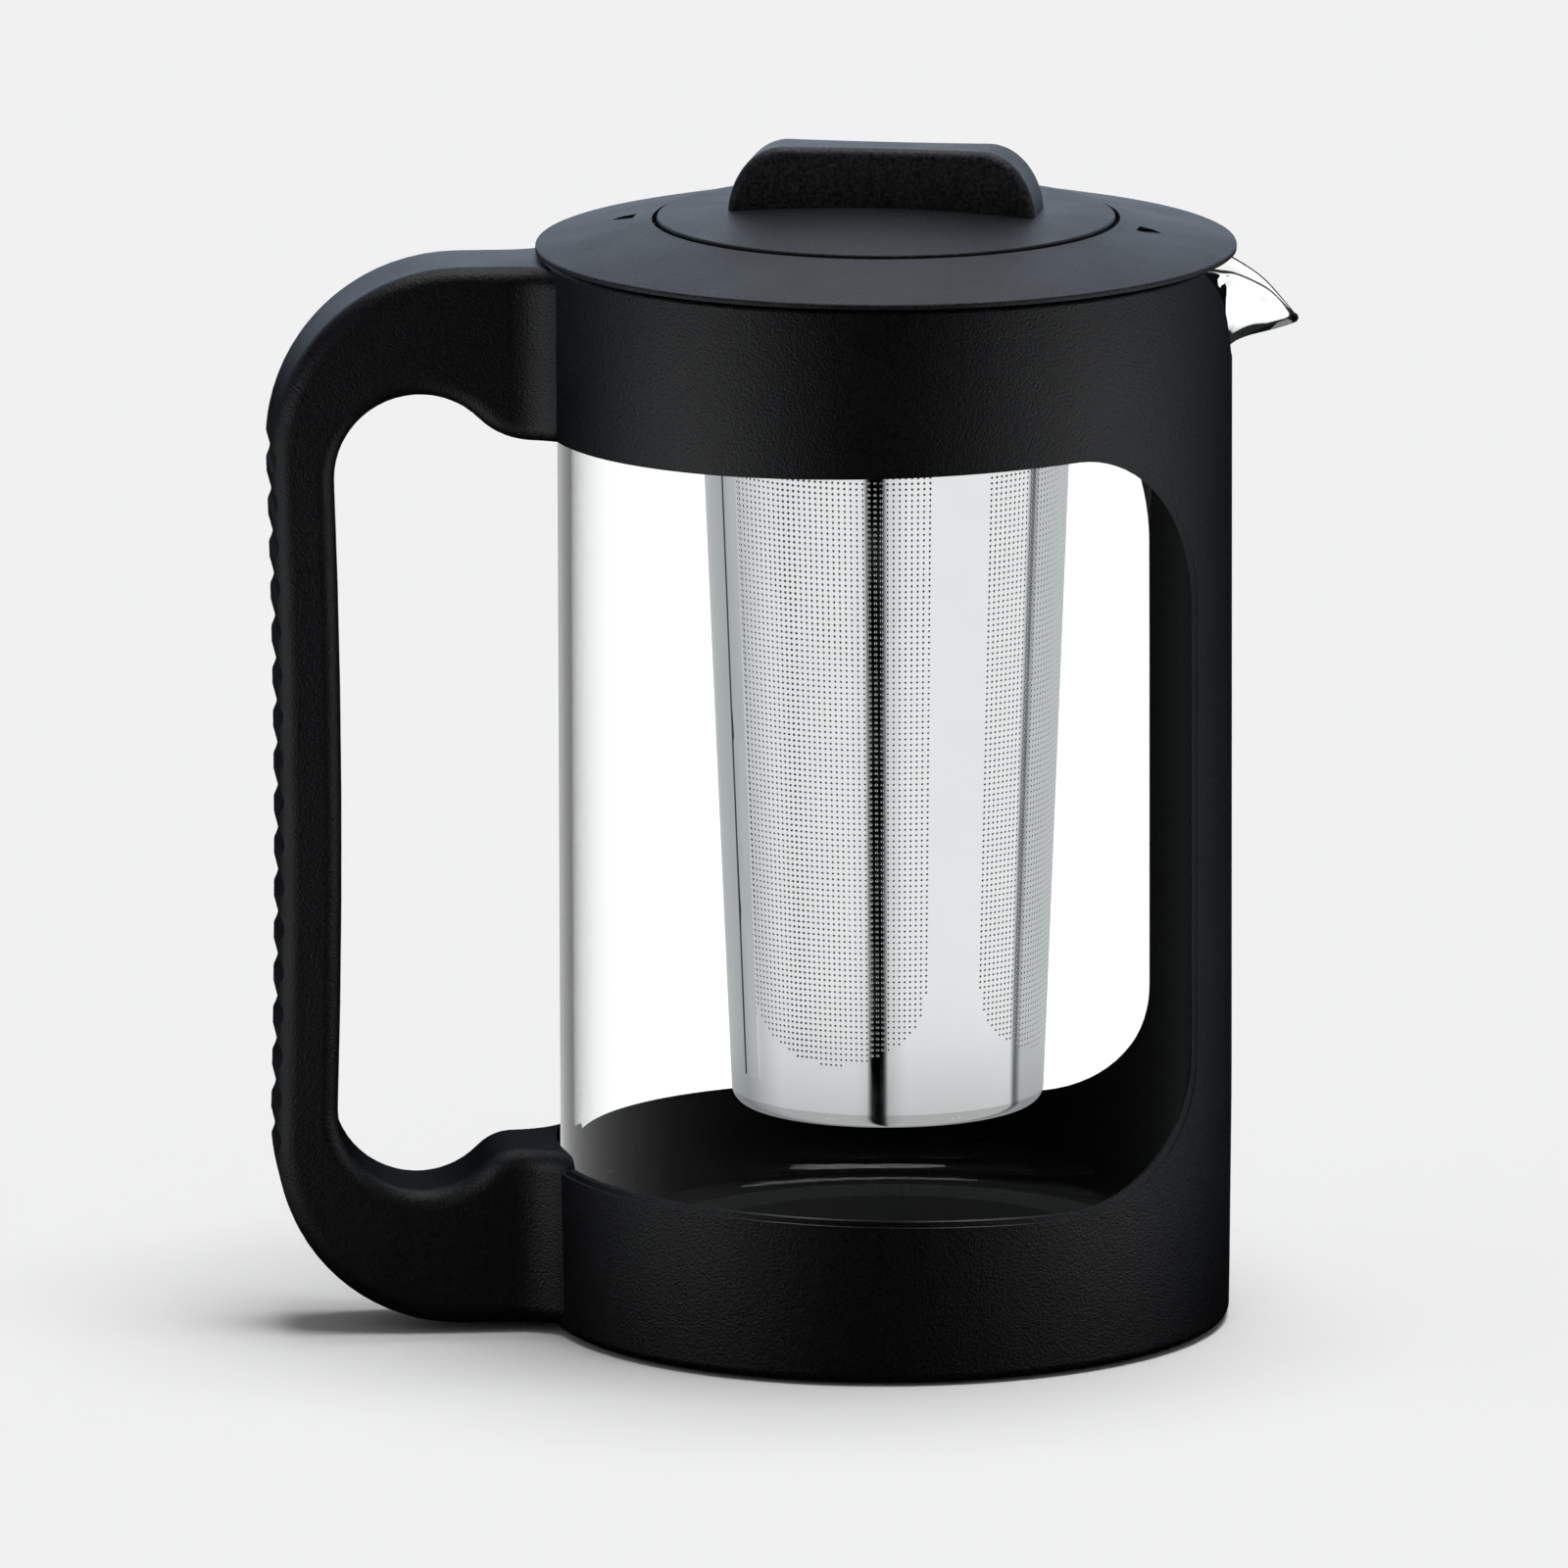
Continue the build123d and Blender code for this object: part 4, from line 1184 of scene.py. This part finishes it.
    def make_tent(self) -> None:
        """Make the round tent, with its floor, that the steel, glass and plastic reflect."""
        low = unit_ring(self.tent_sides) * self.tent_radius + np.array((0.0, 0.0, self.tent_lift))
        high = low + np.array((0.0, 0.0, self.tent_height))
        count = self.tent_sides
        faces = [tuple(range(count))]
        for side in range(count):
            beside = (side + 1) % count
            faces.append((side, side + count, beside + count, beside))
        tent = new_piece("studio_tent", np.vstack([low, high]), faces, self.tent_material())
        tent.rotation_euler.z = math.radians(-90.0 - self.camera_azimuth)
        tent.visible_camera = False
        tent.visible_diffuse = False
        tent.visible_shadow = False

    def make_world(self) -> None:
        """Make the even light from all round, which is brighter as a backdrop and in dull reflections."""
        world = bpy.data.worlds.new("studio")
        tree = ShaderTree(world, "ShaderNodeOutputWorld")
        path = tree.add("ShaderNodeLightPath")
        seen = tree.reckon("MAXIMUM", path.outputs["Is Camera Ray"], path.outputs["Is Transmission Ray"])
        backdrop = tree.reckon("MULTIPLY", seen, self.backdrop_strength - self.ambient_strength)
        dull = tree.reckon("SUBTRACT", path.outputs["Is Glossy Ray"], path.outputs["Is Singular Ray"])
        dull.node.use_clamp = True
        ceiling = self.ceiling_strength - self.ambient_strength
        extra = tree.reckon("MULTIPLY_ADD", dull, ceiling, backdrop)
        background = tree.add("ShaderNodeBackground", Color=(*self.sky_tint, 1.0))
        tree.join(tree.reckon("ADD", extra, self.ambient_strength), background.inputs["Strength"])
        tree.finish(background.outputs["Background"])
        bpy.context.scene.world = world

    def make_lights(self) -> None:
        """Make two broad overhead lights, one a little to the front and one a little to the back."""
        for name, lean, side in self.light_tilts:
            sun = bpy.data.lights.new(name, "SUN")
            sun.energy = self.light_energy
            sun.angle = math.radians(self.light_width)
            light = bpy.data.objects.new(name, sun)
            bpy.context.scene.collection.objects.link(light)
            light.rotation_euler = (math.radians(lean), math.radians(side), 0)

    def make_camera(self) -> None:
        """Make the camera that matches the photograph's view."""
        turn = math.radians(self.camera_azimuth)
        pitch = math.radians(self.camera_pitch)
        level = Vector((math.sin(turn), math.cos(turn), 0.0))
        forward = level * math.cos(pitch) - Vector((0, 0, 1)) * math.sin(pitch)
        right = Vector((math.cos(turn), -math.sin(turn), 0.0))
        up = right.cross(forward)
        place = Vector(self.target) - forward * self.camera_distance
        place -= right * self.camera_left + up * self.camera_down
        data = bpy.data.cameras.new("photo_camera")
        data.lens = self.lens
        data.sensor_width = self.sensor
        data.clip_end = self.camera_reach
        camera = bpy.data.objects.new("photo_camera", data)
        bpy.context.scene.collection.objects.link(camera)
        axes = Matrix((right, up, -forward)).transposed().to_4x4()
        roll = Matrix.Rotation(math.radians(self.camera_roll), 4, "Z")
        camera.matrix_world = Matrix.Translation(place) @ axes @ roll
        bpy.context.scene.camera = camera
        bpy.context.scene.view_settings.view_transform = "Standard"


def main() -> None:
    """Build the coffee maker and the studio in order."""
    finishes = make_finishes()
    Studio().build()
    Carafe(finishes).build()
    Filter(finishes).build()
    Lid(finishes).build()
    Cap(finishes).build()


if __name__ == "__main__":
    main()
